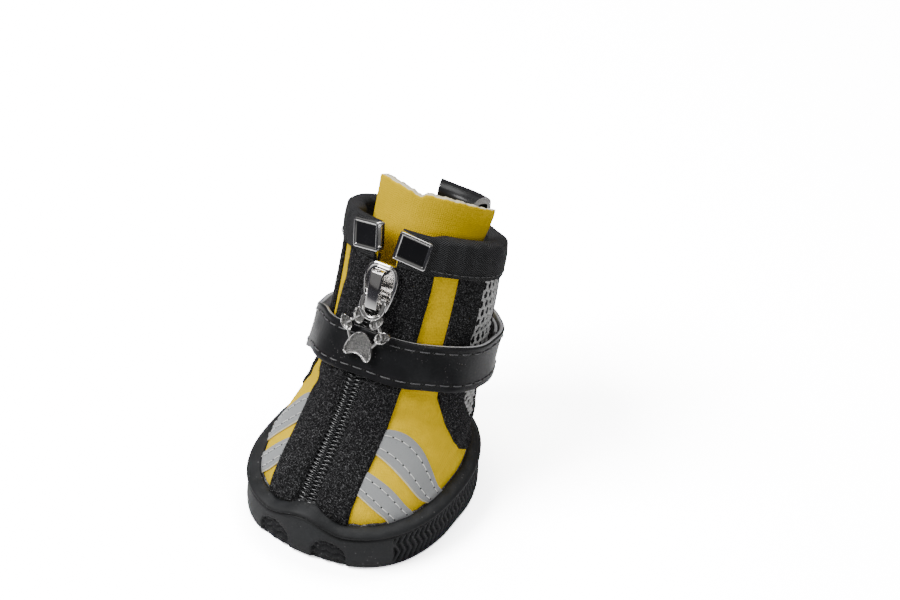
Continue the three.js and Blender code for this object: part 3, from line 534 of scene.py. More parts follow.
def knit_group():
    """Fine jersey: rows of small loops by the cloth's own measure, with an uneven tension."""
    group, given, out = new_group("Fine Jersey", {"Loops a mm": 2.4, "Rows a mm": 3.0}, ["Height", "Shade"])
    place = cloth_place(group)
    axes = put(group, "ShaderNodeSeparateXYZ", {"Vector": place})
    rows = sums(group, "MULTIPLY", axes.outputs["Y"], given.outputs["Rows a mm"])
    lean = sums(group, "MULTIPLY", sums(group, "PINGPONG", rows, 1.0), 0.5)
    loops = sums(group, "ADD", sums(group, "MULTIPLY", axes.outputs["X"], given.outputs["Loops a mm"]), lean)
    ribs = sums(group, "ABSOLUTE", sums(group, "SINE", sums(group, "MULTIPLY", loops, math.pi)))
    steps = sums(group, "ABSOLUTE", sums(group, "SINE", sums(group, "MULTIPLY", rows, math.pi)))
    height = sums(group, "MULTIPLY_ADD", steps, 0.45, sums(group, "MULTIPLY", ribs, 0.55))
    noise = speckle(group, place, 0.35, 3.0)
    group.links.new(height, out.inputs["Height"])
    group.links.new(sums(group, "MULTIPLY_ADD", height, 0.35, sums(group, "MULTIPLY", noise, 0.65)),
                    out.inputs["Shade"])
    return group


def fuzz_group():
    """Looped knit with short fibres: a rough height, and bright specks that are painted glints on the
    fibres.
    """
    group, given, out = new_group("Looped Knit", {"Loops a mm": 2.2}, ["Height", "Specks"])
    place = object_place(group)
    scale = sums(group, "MULTIPLY", given.outputs["Loops a mm"], 1000.0)
    loops = put(group, "ShaderNodeTexVoronoi", {"Vector": place}, feature="SMOOTH_F1")
    group.links.new(scale, loops.inputs["Scale"])
    fibres = put(group, "ShaderNodeTexNoise", {"Vector": place, "Detail": 4.0, "Distortion": 1.2})
    group.links.new(sums(group, "MULTIPLY", scale, 1.6), fibres.inputs["Scale"])
    dip = sums(group, "MULTIPLY", sums(group, "SUBTRACT", 1.0, loops.outputs["Distance"]), 0.6)
    height = sums(group, "MULTIPLY_ADD", fibres.outputs["Fac"], 0.7, dip)
    group.links.new(height, out.inputs["Height"])
    # Bright specks where the fibres stand highest: painted glints
    bright = spread(group, fibres.outputs["Fac"], 0.54, 0.66)
    group.links.new(bright, out.inputs["Specks"])
    return group


def grain_group():
    """Pebbled grain of coated leather or moulded rubber, with finer noise on it."""
    group, given, out = new_group("Pebble Grain", {"Grains a mm": 1.4, "Fine": 0.4}, ["Height", "Wear"])
    place = object_place(group)
    scale = sums(group, "MULTIPLY", given.outputs["Grains a mm"], 1000.0)
    cells = put(group, "ShaderNodeTexVoronoi", {"Vector": place, "Randomness": 1.0}, feature="SMOOTH_F1")
    group.links.new(scale, cells.inputs["Scale"])
    fine = put(group, "ShaderNodeTexNoise", {"Vector": place, "Detail": 5.0, "Roughness": 0.65})
    group.links.new(sums(group, "MULTIPLY", scale, 2.5), fine.inputs["Scale"])
    broad = speckle(group, place, 120.0, 4.0)
    pebble = sums(group, "SUBTRACT", 1.0, cells.outputs["Distance"])
    group.links.new(sums(group, "MULTIPLY_ADD", fine.outputs["Fac"], given.outputs["Fine"], pebble),
                    out.inputs["Height"])
    worn = spread(group, broad, 0.45, 0.72)
    group.links.new(worn, out.inputs["Wear"])
    return group


def dust_group():
    """Small specks of dust and lint, few or many."""
    group, given, out = new_group("Dust", {"Amount": 0.1, "Specks a mm": 1.0}, ["Mask"])
    place = object_place(group)
    scale = sums(group, "MULTIPLY", given.outputs["Specks a mm"], 1000.0)
    cells = put(group, "ShaderNodeTexVoronoi", {"Vector": place}, feature="F1")
    group.links.new(scale, cells.inputs["Scale"])
    patches = speckle(group, place, 180.0, 3.0)
    speck = spread(group, cells.outputs["Distance"], 0.22, 0.1)
    area = spread(group, patches, 0.5, 0.7)
    mask = sums(group, "MULTIPLY", speck, area)
    group.links.new(sums(group, "MULTIPLY", mask, given.outputs["Amount"]), out.inputs["Mask"])
    return group


GROUP_MAKERS = {
    "Fine Jersey": knit_group,
    "Looped Knit": fuzz_group,
    "Pebble Grain": grain_group,
    "Dust": dust_group,
}


def use_group(tree, name, **values):
    """Places a shared group in a material with its own values."""
    group = bpy.data.node_groups.get(name) or GROUP_MAKERS[name]()
    node = tree.nodes.new("ShaderNodeGroup")
    node.node_tree = group
    for key, value in values.items():
        node.inputs[key.replace("_", " ")].default_value = value
    return node


def start_material(name, roughness, colour=None, metallic=0.0, **sockets):
    """New material with the values that are the same all over it; returns it with its tree and shader."""
    material = bpy.data.materials.new(name)
    material.use_nodes = True
    tree = material.node_tree
    shader = tree.nodes["Principled BSDF"]
    shader.inputs["Roughness"].default_value = roughness
    shader.inputs["Metallic"].default_value = metallic
    if colour is not None:
        shader.inputs["Base Color"].default_value = (*colour, 1.0)
    for key, value in sockets.items():
        shader.inputs[key.replace("_", " ")].default_value = value
    return material, tree, shader


def raise_surface(tree, shader, height, strength, depth):
    bump = put(tree, "ShaderNodeBump", {"Strength": strength, "Distance": depth * MM, "Height": height})
    tree.links.new(bump.outputs["Normal"], shader.inputs["Normal"])


def once(maker):
    """A finish is made the first time that it is asked for, and then shared."""
    def finish():
        name = maker.__name__.replace("_", " ")
        return bpy.data.materials.get(name) or maker(name)
    return finish


def colours():
    return bpy.context.scene.boot_colours


@once
def yellow_knit(name):
    material, tree, shader = start_material(name, 0.85, Specular_IOR_Level=0.1)
    knit = use_group(tree, "Fine Jersey")
    bright = tuple(colours().yellow)
    deep = scaled(bright, 0.7)
    paint(tree, shader, knit.outputs["Shade"], deep, bright)
    raise_surface(tree, shader, knit.outputs["Height"], 0.9, 0.12)
    return material


@once
def cream_foam(name):
    material, tree, shader = start_material(name, 0.95)
    place = object_place(tree)
    cells = speckle(tree, place, 4500.0, 3.0)
    pale = tuple(colours().foam)
    paint(tree, shader, cells, scaled(pale, 0.7), pale)
    raise_surface(tree, shader, cells, 0.6, 0.12)
    return material


@once
def brown_lining(name):
    material, tree, shader = start_material(name, 0.95, Sheen_Weight=0.3)
    fuzz = use_group(tree, "Looped Knit", Loops_a_mm=1.6)
    base = tuple(colours().lining)
    paint(tree, shader, fuzz.outputs["Height"], scaled(base, 0.6), base)
    raise_surface(tree, shader, fuzz.outputs["Height"], 0.5, 0.1)
    return material


@once
def black_loop_knit(name):
    material, tree, shader = start_material(name, 0.8, Specular_IOR_Level=0.12)
    fuzz = use_group(tree, "Looped Knit", Loops_a_mm=2.3)
    # Darker black with a lit copy in the specks: the specks are painted glints on the fibres
    base = scaled(colours().black, 0.5)
    lit = scaled(base, 10, 0.1)
    paint(tree, shader, fuzz.outputs["Specks"], base, lit)
    raise_surface(tree, shader, fuzz.outputs["Height"], 1.0, 0.3)
    return material


@once
def black_elastic(name):
    """Herringbone elastic: slanted cords that turn back on themselves every few millimetres."""
    material, tree, shader = start_material(name, 0.7, Specular_IOR_Level=0.15)
    axes = put(tree, "ShaderNodeSeparateXYZ", {"Vector": cloth_place(tree)})
    bent = sums(tree, "PINGPONG", axes.outputs["X"], 2.15)
    slanted = sums(tree, "MULTIPLY_ADD", bent, 1.4, sums(tree, "MULTIPLY", axes.outputs["Y"], 1.75))
    cord = sums(tree, "ABSOLUTE", sums(tree, "SINE", sums(tree, "MULTIPLY", slanted, math.pi)))
    fuzz = use_group(tree, "Looped Knit", Loops_a_mm=2.6)
    height = sums(tree, "MULTIPLY_ADD", fuzz.outputs["Height"], 0.4, cord)
    base = tuple(colours().black)
    lit = scaled(base, 3, 0.03)
    # Cord crests and fibre specks painted lighter and the rest darker: painted highlight and painted shade,
    # which draw the real herringbone
    lines = sums(tree, "MULTIPLY_ADD", fuzz.outputs["Specks"], 0.5, sums(tree, "POWER", cord, 3.0))
    paint(tree, shader, lines, scaled(base, 0.4), lit)
    raise_surface(tree, shader, height, 0.9, 0.22)
    return material


def leather(name, roughness, grains, wear, coat):
    material, tree, shader = start_material(name, roughness, Coat_Weight=coat, Coat_Roughness=0.18,
                                            Specular_IOR_Level=0.18)
    grain = use_group(tree, "Pebble Grain", Grains_a_mm=grains)
    dust = use_group(tree, "Dust", Amount=0.5, Specks_a_mm=1.3)
    base = tuple(colours().leather)
    worn = shade(tree, grain.outputs["Wear"], base, scaled(base, wear))
    paint(tree, shader, dust.outputs["Mask"], worn, (0.3, 0.3, 0.3))
    rough = sums(tree, "MULTIPLY_ADD", grain.outputs["Wear"], 0.15, roughness)
    tree.links.new(rough, shader.inputs["Roughness"])
    raise_surface(tree, shader, grain.outputs["Height"], 0.35, 0.07)
    return material


@once
def strap_leather(name):
    return leather(name, 0.36, 1.1, 1.5, 0.2)


@once
def stay_leather(name):
    return leather(name, 0.4, 1.3, 1.6, 0.2)


@once
def cut_edge(name):
    """Raw grey edge of coated leather, rough and fibrous; its pale tone is partly a painted highlight along
    the rims of strap, stay and loop.
    """
    material, tree, shader = start_material(name, 0.9)
    fuzz = use_group(tree, "Looped Knit", Loops_a_mm=3.0)
    # Pale grey: the raw edge's own tone, raised to serve as painted highlight on the rims
    paint(tree, shader, fuzz.outputs["Height"], (0.14, 0.14, 0.15), (0.6, 0.6, 0.6))
    raise_surface(tree, shader, fuzz.outputs["Height"], 0.8, 0.15)
    return material


@once
def reflective_tape(name):
    """Grey cloth with tiny glass beads."""
    material, tree, shader = start_material(name, 0.5, Sheen_Weight=0.2, Specular_IOR_Level=0.6)
    place = object_place(tree)
    beads = speckle(tree, place, 6000.0, 2.0)
    dust = use_group(tree, "Dust", Amount=0.5, Specks_a_mm=0.9)
    base = tuple(colours().reflective)
    grey = shade(tree, beads, scaled(base, 0.82), scaled(base, 1.15))
    paint(tree, shader, dust.outputs["Mask"], grey, (0.12, 0.12, 0.12))
    raise_surface(tree, shader, beads, 0.4, 0.05)
    return material


@once
def silver_mesh(name):
    material, tree, shader = start_material(name, 0.42, Specular_IOR_Level=0.7, Sheen_Weight=0.3)
    place = object_place(tree)
    strands = speckle(tree, place, 5200.0, 3.0)
    base = tuple(colours().mesh)
    paint(tree, shader, strands, scaled(base, 0.3), base)
    raise_surface(tree, shader, strands, 0.8, 0.15)
    return material


def twist(tree, shader):
    """Slanted turns of a sewing thread."""
    place = object_place(tree)
    turns = put(tree, "ShaderNodeTexWave", {"Vector": place, "Scale": 2500.0, "Distortion": 2.0},
                bands_direction="DIAGONAL")
    raise_surface(tree, shader, turns.outputs["Fac"], 0.5, 0.08)


@once
def pale_thread(name):
    material, tree, shader = start_material(name, 0.7, colour=(0.85, 0.85, 0.82))
    twist(tree, shader)
    return material


@once
def black_thread(name):
    material, tree, shader = start_material(name, 0.35, colour=(0.07, 0.07, 0.075), Specular_IOR_Level=0.9)
    twist(tree, shader)
    return material


@once
def needle_hole(name):
    material, tree, shader = start_material(name, 1.0)
    place = object_place(tree)
    # Near-black pins where the needle holes are: painted shade
    shadow = speckle(tree, place, 3000.0)
    paint(tree, shader, shadow, (0.006, 0.006, 0.006), (0.02, 0.02, 0.02))
    return material


@once
def black_rubber(name):
    material, tree, shader = start_material(name, 0.5, Specular_IOR_Level=0.22)
    grain = use_group(tree, "Pebble Grain", Grains_a_mm=4.0, Fine=0.8)
    dust = use_group(tree, "Dust", Amount=0.5, Specks_a_mm=0.8)
    base = tuple(colours().rubber)
    scuffed = shade(tree, grain.outputs["Wear"], base, scaled(base, 1.7))
    paint(tree, shader, dust.outputs["Mask"], scuffed, (0.25, 0.25, 0.25))
    rough = sums(tree, "MULTIPLY_ADD", grain.outputs["Wear"], 0.15, 0.5)
    tree.links.new(rough, shader.inputs["Roughness"])
    raise_surface(tree, shader, grain.outputs["Height"], 0.3, 0.05)
    return material


@once
def rubber_cement(name):
    """Smear of cement and trimmed fibres where the rubber meets the cloth."""
    material, tree, shader = start_material(name, 0.5, Specular_IOR_Level=0.5)
    fuzz = use_group(tree, "Looped Knit", Loops_a_mm=1.5)
    base = tuple(colours().rubber)
    # The bright specks on the smear are painted glints on its trimmed fibres
    paint(tree, shader, fuzz.outputs["Specks"], base, scaled(base, 8, 0.16))
    raise_surface(tree, shader, fuzz.outputs["Height"], 1.0, 0.25)
    return material


@once
def nylon_coil(name):
    material, tree, shader = start_material(name, 0.25, Specular_IOR_Level=0.9)
    place = object_place(tree)
    marks = speckle(tree, place, 1500.0, 2.0)
    base = tuple(colours().black)
    paint(tree, shader, marks, base, scaled(base, 2.2))
    raise_surface(tree, shader, marks, 0.2, 0.05)
    return material


@once
def zip_tape(name):
    material, tree, shader = start_material(name, 0.85)
    axes = put(tree, "ShaderNodeSeparateXYZ", {"Vector": cloth_place(tree)})
    cords = sums(tree, "ABSOLUTE", sums(tree, "SINE", sums(tree, "MULTIPLY", axes.outputs["X"], 8.0)))
    picks = sums(tree, "ABSOLUTE", sums(tree, "SINE", sums(tree, "MULTIPLY", axes.outputs["Y"], 7.0)))
    height = sums(tree, "MULTIPLY", cords, picks)
    base = tuple(colours().black)
    paint(tree, shader, height, scaled(base, 0.5), scaled(base, 1.6))
    raise_surface(tree, shader, height, 0.8, 0.12)
    return material


@once
def nickel(name):
    """Polished nickel plate with faint haze and fine scratches."""
    material, tree, shader = start_material(name, 0.14, metallic=1.0)
    place = object_place(tree)
    haze = speckle(tree, place, 500.0, 5.0)
    scratches = speckle(tree, place, 3500.0, 2.0, 3.0)
    base = tuple(colours().nickel)
    paint(tree, shader, haze, scaled(base, 0.85), base)
    rough = sums(tree, "MULTIPLY_ADD", haze, 0.2, 0.06)
    tree.links.new(rough, shader.inputs["Roughness"])
    raise_surface(tree, shader, scratches, 0.08, 0.03)
    return material


@once
def mirror_nickel(name):
    """Sunk mirror faces, given a darker base than the frames round them as a painted dark reflection."""
    material, tree, shader = start_material(name, 0.08, metallic=1.0)
    place = object_place(tree)
    haze = speckle(tree, place, 400.0, 4.0)
    # A third of the nickel's tone: painted dark reflection in the mirror faces
    base = scaled(colours().nickel, 0.35)
    paint(tree, shader, haze, scaled(base, 0.8), base)
    rough = sums(tree, "MULTIPLY_ADD", haze, 0.12, 0.02)
    tree.links.new(rough, shader.inputs["Roughness"])
    return material


@once
def cast_nickel(name):
    """Nickel over a grainy cast ground."""
    material, tree, shader = start_material(name, 0.3, metallic=1.0)
    grain = use_group(tree, "Pebble Grain", Grains_a_mm=3.5, Fine=1.0)
    base = scaled(colours().nickel, 0.28)
    paint(tree, shader, grain.outputs["Wear"], base, scaled(base, 0.4))
    raise_surface(tree, shader, grain.outputs["Height"], 0.9, 0.3)
    return material


# In reflections the floor is pale near the boot and dark beyond, in metres; the camera sees it pale all over
FLOOR_PALE = 0.06
FLOOR_DARK = 0.2
FLOOR_GAIN = 10.0


@once
def pale_floor(name):
    """White studio floor, overexposed where the camera sees it directly."""
    material = bpy.data.materials.new(name)
    material.use_nodes = True
    tree = material.node_tree
    tree.nodes.clear()
    place = object_place(tree)
    away = put(tree, "ShaderNodeVectorMath", {0: place}, operation="LENGTH").outputs["Value"]
    far = spread(tree, away, FLOOR_PALE, FLOOR_DARK)
    seen = put(tree, "ShaderNodeLightPath").outputs["Is Camera Ray"]
    far = sums(tree, "MULTIPLY", far, sums(tree, "SUBTRACT", 1.0, seen))
    tone = shade(tree, far, (0.9, 0.9, 0.91), (0.03, 0.03, 0.035))
    gain = sums(tree, "MULTIPLY_ADD", seen, FLOOR_GAIN, 1.0)
    bright = put(tree, "ShaderNodeVectorMath", {0: tone, "Scale": gain}, operation="SCALE").outputs["Vector"]
    shader = put(tree, "ShaderNodeBsdfDiffuse", {"Color": bright})
    result = put(tree, "ShaderNodeOutputMaterial")
    tree.links.new(shader.outputs["BSDF"], result.inputs["Surface"])
    return material


def size_setting(title, text, value):
    return FloatProperty(name=title, description=text, default=value)


class BootSizes(bpy.types.PropertyGroup):
    """Sizes of the fine work, in millimetres"""

    rib_pitch: size_setting("Rib Pitch", "Spacing of the ribs on the sole's wall", 1.65)
    rib_depth: size_setting("Rib Depth", "Depth of the grooves between the ribs", 0.95)
    tread_pitch: size_setting("Tread Pitch", "Spacing of the zigzag bars under the sole", 2.2)
    tread_depth: size_setting("Tread Depth", "Depth of the grooves under the sole", 1.0)
    coil_pitch: size_setting("Coil Pitch", "Spacing of the turns of the zip's coils", 1.05)
    tape_stitch: size_setting("Tape Stitch", "Pitch of the stitches on the tapes", 2.4)
    strap_stitch: size_setting("Strap Stitch", "Pitch of the stitches on strap and stay", 3.7)
    mesh_pitch: size_setting("Mesh Pitch", "Spacing of the holes in the side mesh", 2.4)
    fibres: IntProperty(name="Fibres", description="Loose fibres on each black knit band", default=1500)


def colour_setting(title, text, value):
    return FloatVectorProperty(name=title, description=text, default=value, subtype="COLOR", size=3,
                               min=0, max=1)


class BootColours(bpy.types.PropertyGroup):
    """Colours of the boot's materials"""

    yellow: colour_setting("Yellow", "Knit of the upper and tongue", (1.0, 0.67, 0.0))
    black: colour_setting("Black", "Black knit, elastic and zip", (0.008, 0.008, 0.009))
    leather: colour_setting("Leather", "Strap, stay and pull loop", (0.008, 0.008, 0.009))
    rubber: colour_setting("Rubber", "Sole", (0.012, 0.0125, 0.0135))
    reflective: colour_setting("Reflective", "Tapes", (0.3, 0.31, 0.315))
    mesh: colour_setting("Mesh", "Silver mesh in the sides", (0.76, 0.76, 0.75))
    foam: colour_setting("Foam", "Cut edge of the tongue", (0.8, 0.72, 0.5))
    lining: colour_setting("Lining", "Inside of the boot", (0.34, 0.25, 0.16))
    nickel: colour_setting("Nickel", "Slider, pull and clasps", (0.8, 0.79, 0.78))


def sizes():
    return bpy.context.scene.boot_sizes


class BootOperator:
    """Settings that all the boot's operators share"""

    bl_options = {"REGISTER", "UNDO"}


def sole_corner(angle, inset):
    s, c = np.sin(angle), np.cos(angle)
    power = 2 / np.where(c > 0, SOLE_TOE_POWER, SOLE_HEEL_POWER)
    x = (SOLE_WIDTH / 2 - inset) * np.sign(s) * np.abs(s) ** power
    y = -(SOLE_LENGTH / 2 - inset) * np.sign(c) * np.abs(c) ** power
    return np.stack([x, y], -1)


def even_outline(count):
    """Points and inward normals evenly spaced round the sole from the middle of the toe, by +X."""
    corners = sole_corner(np.linspace(0, TWO_PI, 6001), 0)
    along = lengths_along(corners)
    total = along[-1]
    at = np.arange(count) / count * total
    points = np.stack([np.interp(at, along, corners[:, k]) for k in range(2)], -1)
    tangents = unit(np.roll(points, -1, axis=0) - np.roll(points, 1, axis=0))
    return points, np.stack([-tangents[:, 1], tangents[:, 0]], -1), at, total


TOE_SPRING = 0.8
HEEL_SPRING = 0.5
ARCH_RISE = 0.5


def under_rise(y):
    """Height of the underside over the floor: toe spring, heel spring and a low arch."""
    toe_break, heel_break, arch_end = -0.31 * SOLE_LENGTH, 0.4 * SOLE_LENGTH, 0.12 * SOLE_LENGTH
    half = SOLE_LENGTH / 2 + 1
    toe = TOE_SPRING * np.clip((toe_break - y) / (toe_break + half), 0, 1) ** 2
    heel = HEEL_SPRING * np.clip((y - heel_break) / (half - heel_break), 0, 1) ** 2
    arch = ARCH_RISE * np.sin(math.pi * np.clip((y + arch_end) / (2 * arch_end), 0, 1)) ** 2
    return toe + heel + arch


def triangle_wave(value):
    return 4 * np.abs(value - np.floor(value + 0.5)) - 1


WINDOW_SPACING = 15.0
WINDOW_WIDTH = 8.8
WINDOW_HEIGHT = 7.1
WINDOW_DEPTH = 1.1
WINDOW_SHIFT = 0.8
SMOOTH_TOE = 46.0
# Lip from the groove to the inside of the cup: share of its height, and inset as a share of its thickness
LIP_PROFILE = (
    (0.02, 0.1), (0.1, -0.06), (0.2, -0.1), (0.32, -0.1), (0.45, -0.06), (0.58, 0.02), (0.7, 0.12),
    (0.8, 0.24), (0.88, 0.36), (0.94, 0.5), (0.985, 0.64), (1.0, 0.8), (0.97, 0.95), (0.9, 1.04),
    (0.4, 1.08), (-0.8, 1.08),
)


def window_mask(x, z):
    """1 inside the two arched windows of the toe."""
    half = WINDOW_WIDTH / 2
    x = x + WINDOW_SHIFT
    aside = np.minimum(np.abs(x - WINDOW_SPACING / 2), np.abs(x + WINDOW_SPACING / 2))
    above = np.maximum(0, z - (WINDOW_HEIGHT - half))
    return smooth_step(0.15, -0.15, np.hypot(aside, above) - half)


def sole_wall(maker):
    """Ribbed wall, groove, lip with two parting lines at the toe, and the cup's inside."""
    points, inward, at, total = even_outline(1320)
    x, y = points.T
    ribs = round((total - SMOOTH_TOE) / sizes().rib_pitch)
    ribbed = smooth_step(SMOOTH_TOE / 2 - 0.5, SMOOTH_TOE / 2 + 0.5, np.minimum(at, total - at))
    phase = (at - SMOOTH_TOE / 2) / (total - SMOOTH_TOE) * ribs
    mirror = np.where(at < total / 2, 1.0, -1.0)
    toe_side = smooth_step(-8, -20, y)
    raised = bumper(x, y)
    top = WALL_HEIGHT - 0.6
    rows = [(0, 2.4), (0, 0.8), (0.02, 0.5), (0.1, 0.22), (0.3, 0.06)]
    rows += [(z, 0.0) for z in np.linspace(0.6, top, 21)]
    rows += [(top + 0.2, 0.12), (top + 0.32, 0.34), (top + 0.5, 0.4)]
    rings = []
    for z, inset in rows:
        height = z + raised * smooth_step(2, WALL_HEIGHT, z)
        wave = 0.7 * triangle_wave(z / 5.6 + 0.3) * mirror
        turn = phase + wave / sizes().rib_pitch
        ridge = 2 * np.abs(turn - np.round(turn))
        groove = 1 - 0.8 * smooth_step(0.22, 0.6, ridge) - 0.2 * ridge
        upright = smooth_step(0.2, 0.7, z) * smooth_step(top + 0.1, top - 0.2, z)
        cut = sizes().rib_depth * groove * ribbed * upright
        swell = -0.3 * toe_side * math.sin(math.pi * min(1, z / WALL_HEIGHT)) * (1 - ribbed)
        window = window_mask(x, height) * (y < -18)
        zigzag = 0.5 + 0.5 * triangle_wave((height + 0.5 * triangle_wave(x / 3.1)) / 2.0)
        sink = window * (0.3 + WINDOW_DEPTH * zigzag)
        place = points + inward * (inset + cut + swell + sink)[:, None]
        rings.append(np.column_stack([place, height + under_rise(y) * max(0, 1 - z / WALL_HEIGHT)]))
    for up, inset in LIP_PROFILE:
        line = 0.18 * toe_side * (np.exp(-((up - 0.14) / 0.05) ** 2) + np.exp(-((up - 0.34) / 0.04) ** 2))
        edge = points + inward * (LIP_THICKNESS * inset + line)[:, None]
        uneven = 0.12 * np.sin(at * 0.9) * np.sin(at * 0.37 + 1) * smooth_step(0.7, 1, up)
        height = WALL_HEIGHT + LIP_HEIGHT * up + raised + uneven
        rings.append(np.column_stack([edge[:, 0], edge[:, 1] + 0.4 * raised * max(0.0, up), height]))
    inner = rings[-1].copy()
    inner[:, 2] = SOLE_FLOOR
    rings.append(inner)
    grid = np.array(rings)
    add_rings(maker, grid, np.stack([np.broadcast_to(at, grid.shape[:2]), grid[..., 2]], -1))


def near_line(x, y, x0, y0, x1, y1):
    """Distance to a straight line between two places, and how far along it."""
    dx, dy = x1 - x0, y1 - y0
    along = np.clip(((x - x0) * dx + (y - y0) * dy) / (dx * dx + dy * dy), 0, 1)
    return np.hypot(x - x0 - along * dx, y - y0 - along * dy), along * math.hypot(dx, dy)


def tread_depth(x, y):
    """Depth of the tread at a place under the sole: zigzag bars, smooth dimpled rays and a size number."""
    pitch, deep = sizes().tread_pitch, sizes().tread_depth
    zigzag = (y + 0.7 * triangle_wave(x / 4.4)) / pitch
    depth = deep * smooth_step(0.1, 0.55, 0.5 + 0.5 * np.cos(TWO_PI * zigzag) - 0.25)
    half_l, half_w = SOLE_LENGTH / 2, SOLE_WIDTH / 2
    rays = [(0, -2, 0, -half_l, 6.4), (0, 6, 0, half_l, 5.0)]
    for side in (-1, 1):
        rays.append((side * 3, -3, side * 0.72 * half_w, -0.86 * half_l, 5.2))
        rays.append((side * 0.5 * half_w, 0.58 * half_l, side * half_w, 0.16 * half_l, 3.2))
        rays.append((side * 0.5 * half_w, 0.58 * half_l, side * 0.2 * half_w, 1, 3.2))
    for x0, y0, x1, y1, width in rays:
        near, along = near_line(x, y, x0, y0, x1, y1)
        edge = near - width / 2
        depth = np.where(edge < 0, 0, np.where(edge < 0.6, deep, depth))
        dimple = np.hypot(near, (along % 4.0) - 2.0) < 0.9
        depth = np.where((edge < 0) & dimple & (along > 3), 0.35, depth)
    plate = (np.abs(x) < 4.2) & (np.abs(y - 0.5) < 4.2)
    bowls = np.minimum(np.abs(np.hypot(x, y + 1.0) - 1.4), np.abs(np.hypot(x, y - 1.8) - 1.4))
    bowls = np.where(x > -0.7, bowls, 9)
    return np.where(plate, np.where(bowls < 0.35, 0.0, 0.35), depth)


TREAD_INSET = 0.8
TREAD_TOP = 2.3


def sole_tread(maker):
    """Underside of the sole inside its rounded edge, closed by a flat top."""
    rows, columns = 210, 150
    half_length, half_width = SOLE_LENGTH / 2 - TREAD_INSET, SOLE_WIDTH / 2 - TREAD_INSET
    y = half_length * np.sin(np.linspace(-1, 1, rows) * math.pi / 2)
    power = np.where(y < 0, SOLE_TOE_POWER, SOLE_HEEL_POWER)
    reach = (1 - np.minimum(1, np.abs(y) / half_length) ** power) ** (1 / power)
    half = np.maximum(half_width * reach, 0.05)
    x = half[:, None] * np.linspace(-1, 1, columns)
    y = np.broadcast_to(y[:, None], x.shape)
    z = tread_depth(x, y) + under_rise(y)
    border = np.zeros(x.shape, bool)
    border[[0, -1]] = border[:, [0, -1]] = True
    z = np.where(border, under_rise(y), z)
    points = np.stack([x, y, z], -1).reshape(-1, 3)
    grid = np.arange(rows * columns).reshape(rows, columns)
    low = np.concatenate([grid[0], grid[1:, -1], grid[-1, -2::-1], grid[-2:0:-1, 0]])
    high = len(points) + np.arange(len(low))
    top = points[low].copy()
    top[:, 2] = TREAD_TOP
    sides = np.stack([low, np.roll(low, -1), np.roll(high, -1), high], -1)
    faces = grid_faces(rows, columns)[:, ::-1].tolist() + sides.tolist() + [high]
    maker.add(np.concatenate([points, top]), faces)


def cement_line(maker):
    """Thin uneven smear just above the lip."""
    turns = np.linspace(0, 1, 420)
    level = np.array([level_at_lip(turn) for turn in turns])
    rng = np.random.default_rng(5)
    ripple = np.interp(turns * 140, np.arange(141), np.append(rng.uniform(0.2, 1.0, 140), 0.5))
    ripple[-1] = ripple[0]

    def place(a, b, off):
        at, reach = np.interp(a, turns, level), np.interp(a, turns, ripple)
        return on_cloth(a, at + (b * (0.9 * reach + 0.5) - 1.0) / LEVEL_LENGTH, off)

    a, b = np.meshgrid(turns, np.linspace(0, 1, 6))
    front = place(a, b, 0.12 + 0.28 * np.sqrt(np.maximum(0, 1 - b ** 2)))
    add_shell(maker, front, place(a, b, np.full_like(a, -0.15)))


class BOOT_OT_sole(BootOperator, bpy.types.Operator):
    """Makes the rubber cup sole with its tread and the cement at its upper edge"""

    bl_idname = "boot.sole"
    bl_label = "Make Sole"

    def execute(self, context):
        wall = Maker()
        sole_wall(wall)
        wall.make("sole_cup", [black_rubber()], replaces=("sole",))
        tread = Maker()
        sole_tread(tread)
        tread.make("sole_tread", [black_rubber()], sharp=40)
        cement = Maker()
        cement_line(cement)
        cement.make("cement_line", [rubber_cement()])
        return {"FINISHED"}


# Height over the seat, and share of the footbed's outline: its rounded rim and slightly sunk middle
INSOLE_PROFILE = (
    (0, 0.9), (0, 0.985), (0.2, 1.0), (1.5, 1.0), (1.85, 0.985), (2.0, 0.95), (1.9, 0.7), (1.85, 0.35),
)


class BOOT_OT_insole(BootOperator, bpy.types.Operator):
    """Makes the brushed footbed"""

    bl_idname = "boot.insole"
    bl_label = "Make Insole"

    def execute(self, context):
        maker = Maker()
        turns = np.arange(160) / 160
        rim = on_skin(turns, 0.02, -(UPPER_WALL + FIT_GAP))[:, :2]
        rows = INSOLE_PROFILE
        add_rings(maker, [np.column_stack([rim * share, np.full(len(rim), SEAT + z)]) for z, share in rows])
        maker.make("footbed", [brown_lining()], replaces=("insole",))
        return {"FINISHED"}


def slit_half(level, lowest):
    """Half width of the slit for the zip, which closes below its lowest level."""
    half = np.where(level > lowest, ZIP_SLIT / 2, 0.02)
    return half * smooth_step(lowest - 0.02, lowest + 0.01, level) + 0.01


def on_front(turn):
    return np.cos(TWO_PI * turn) > 0


KNIT_GIRTH = 130.0


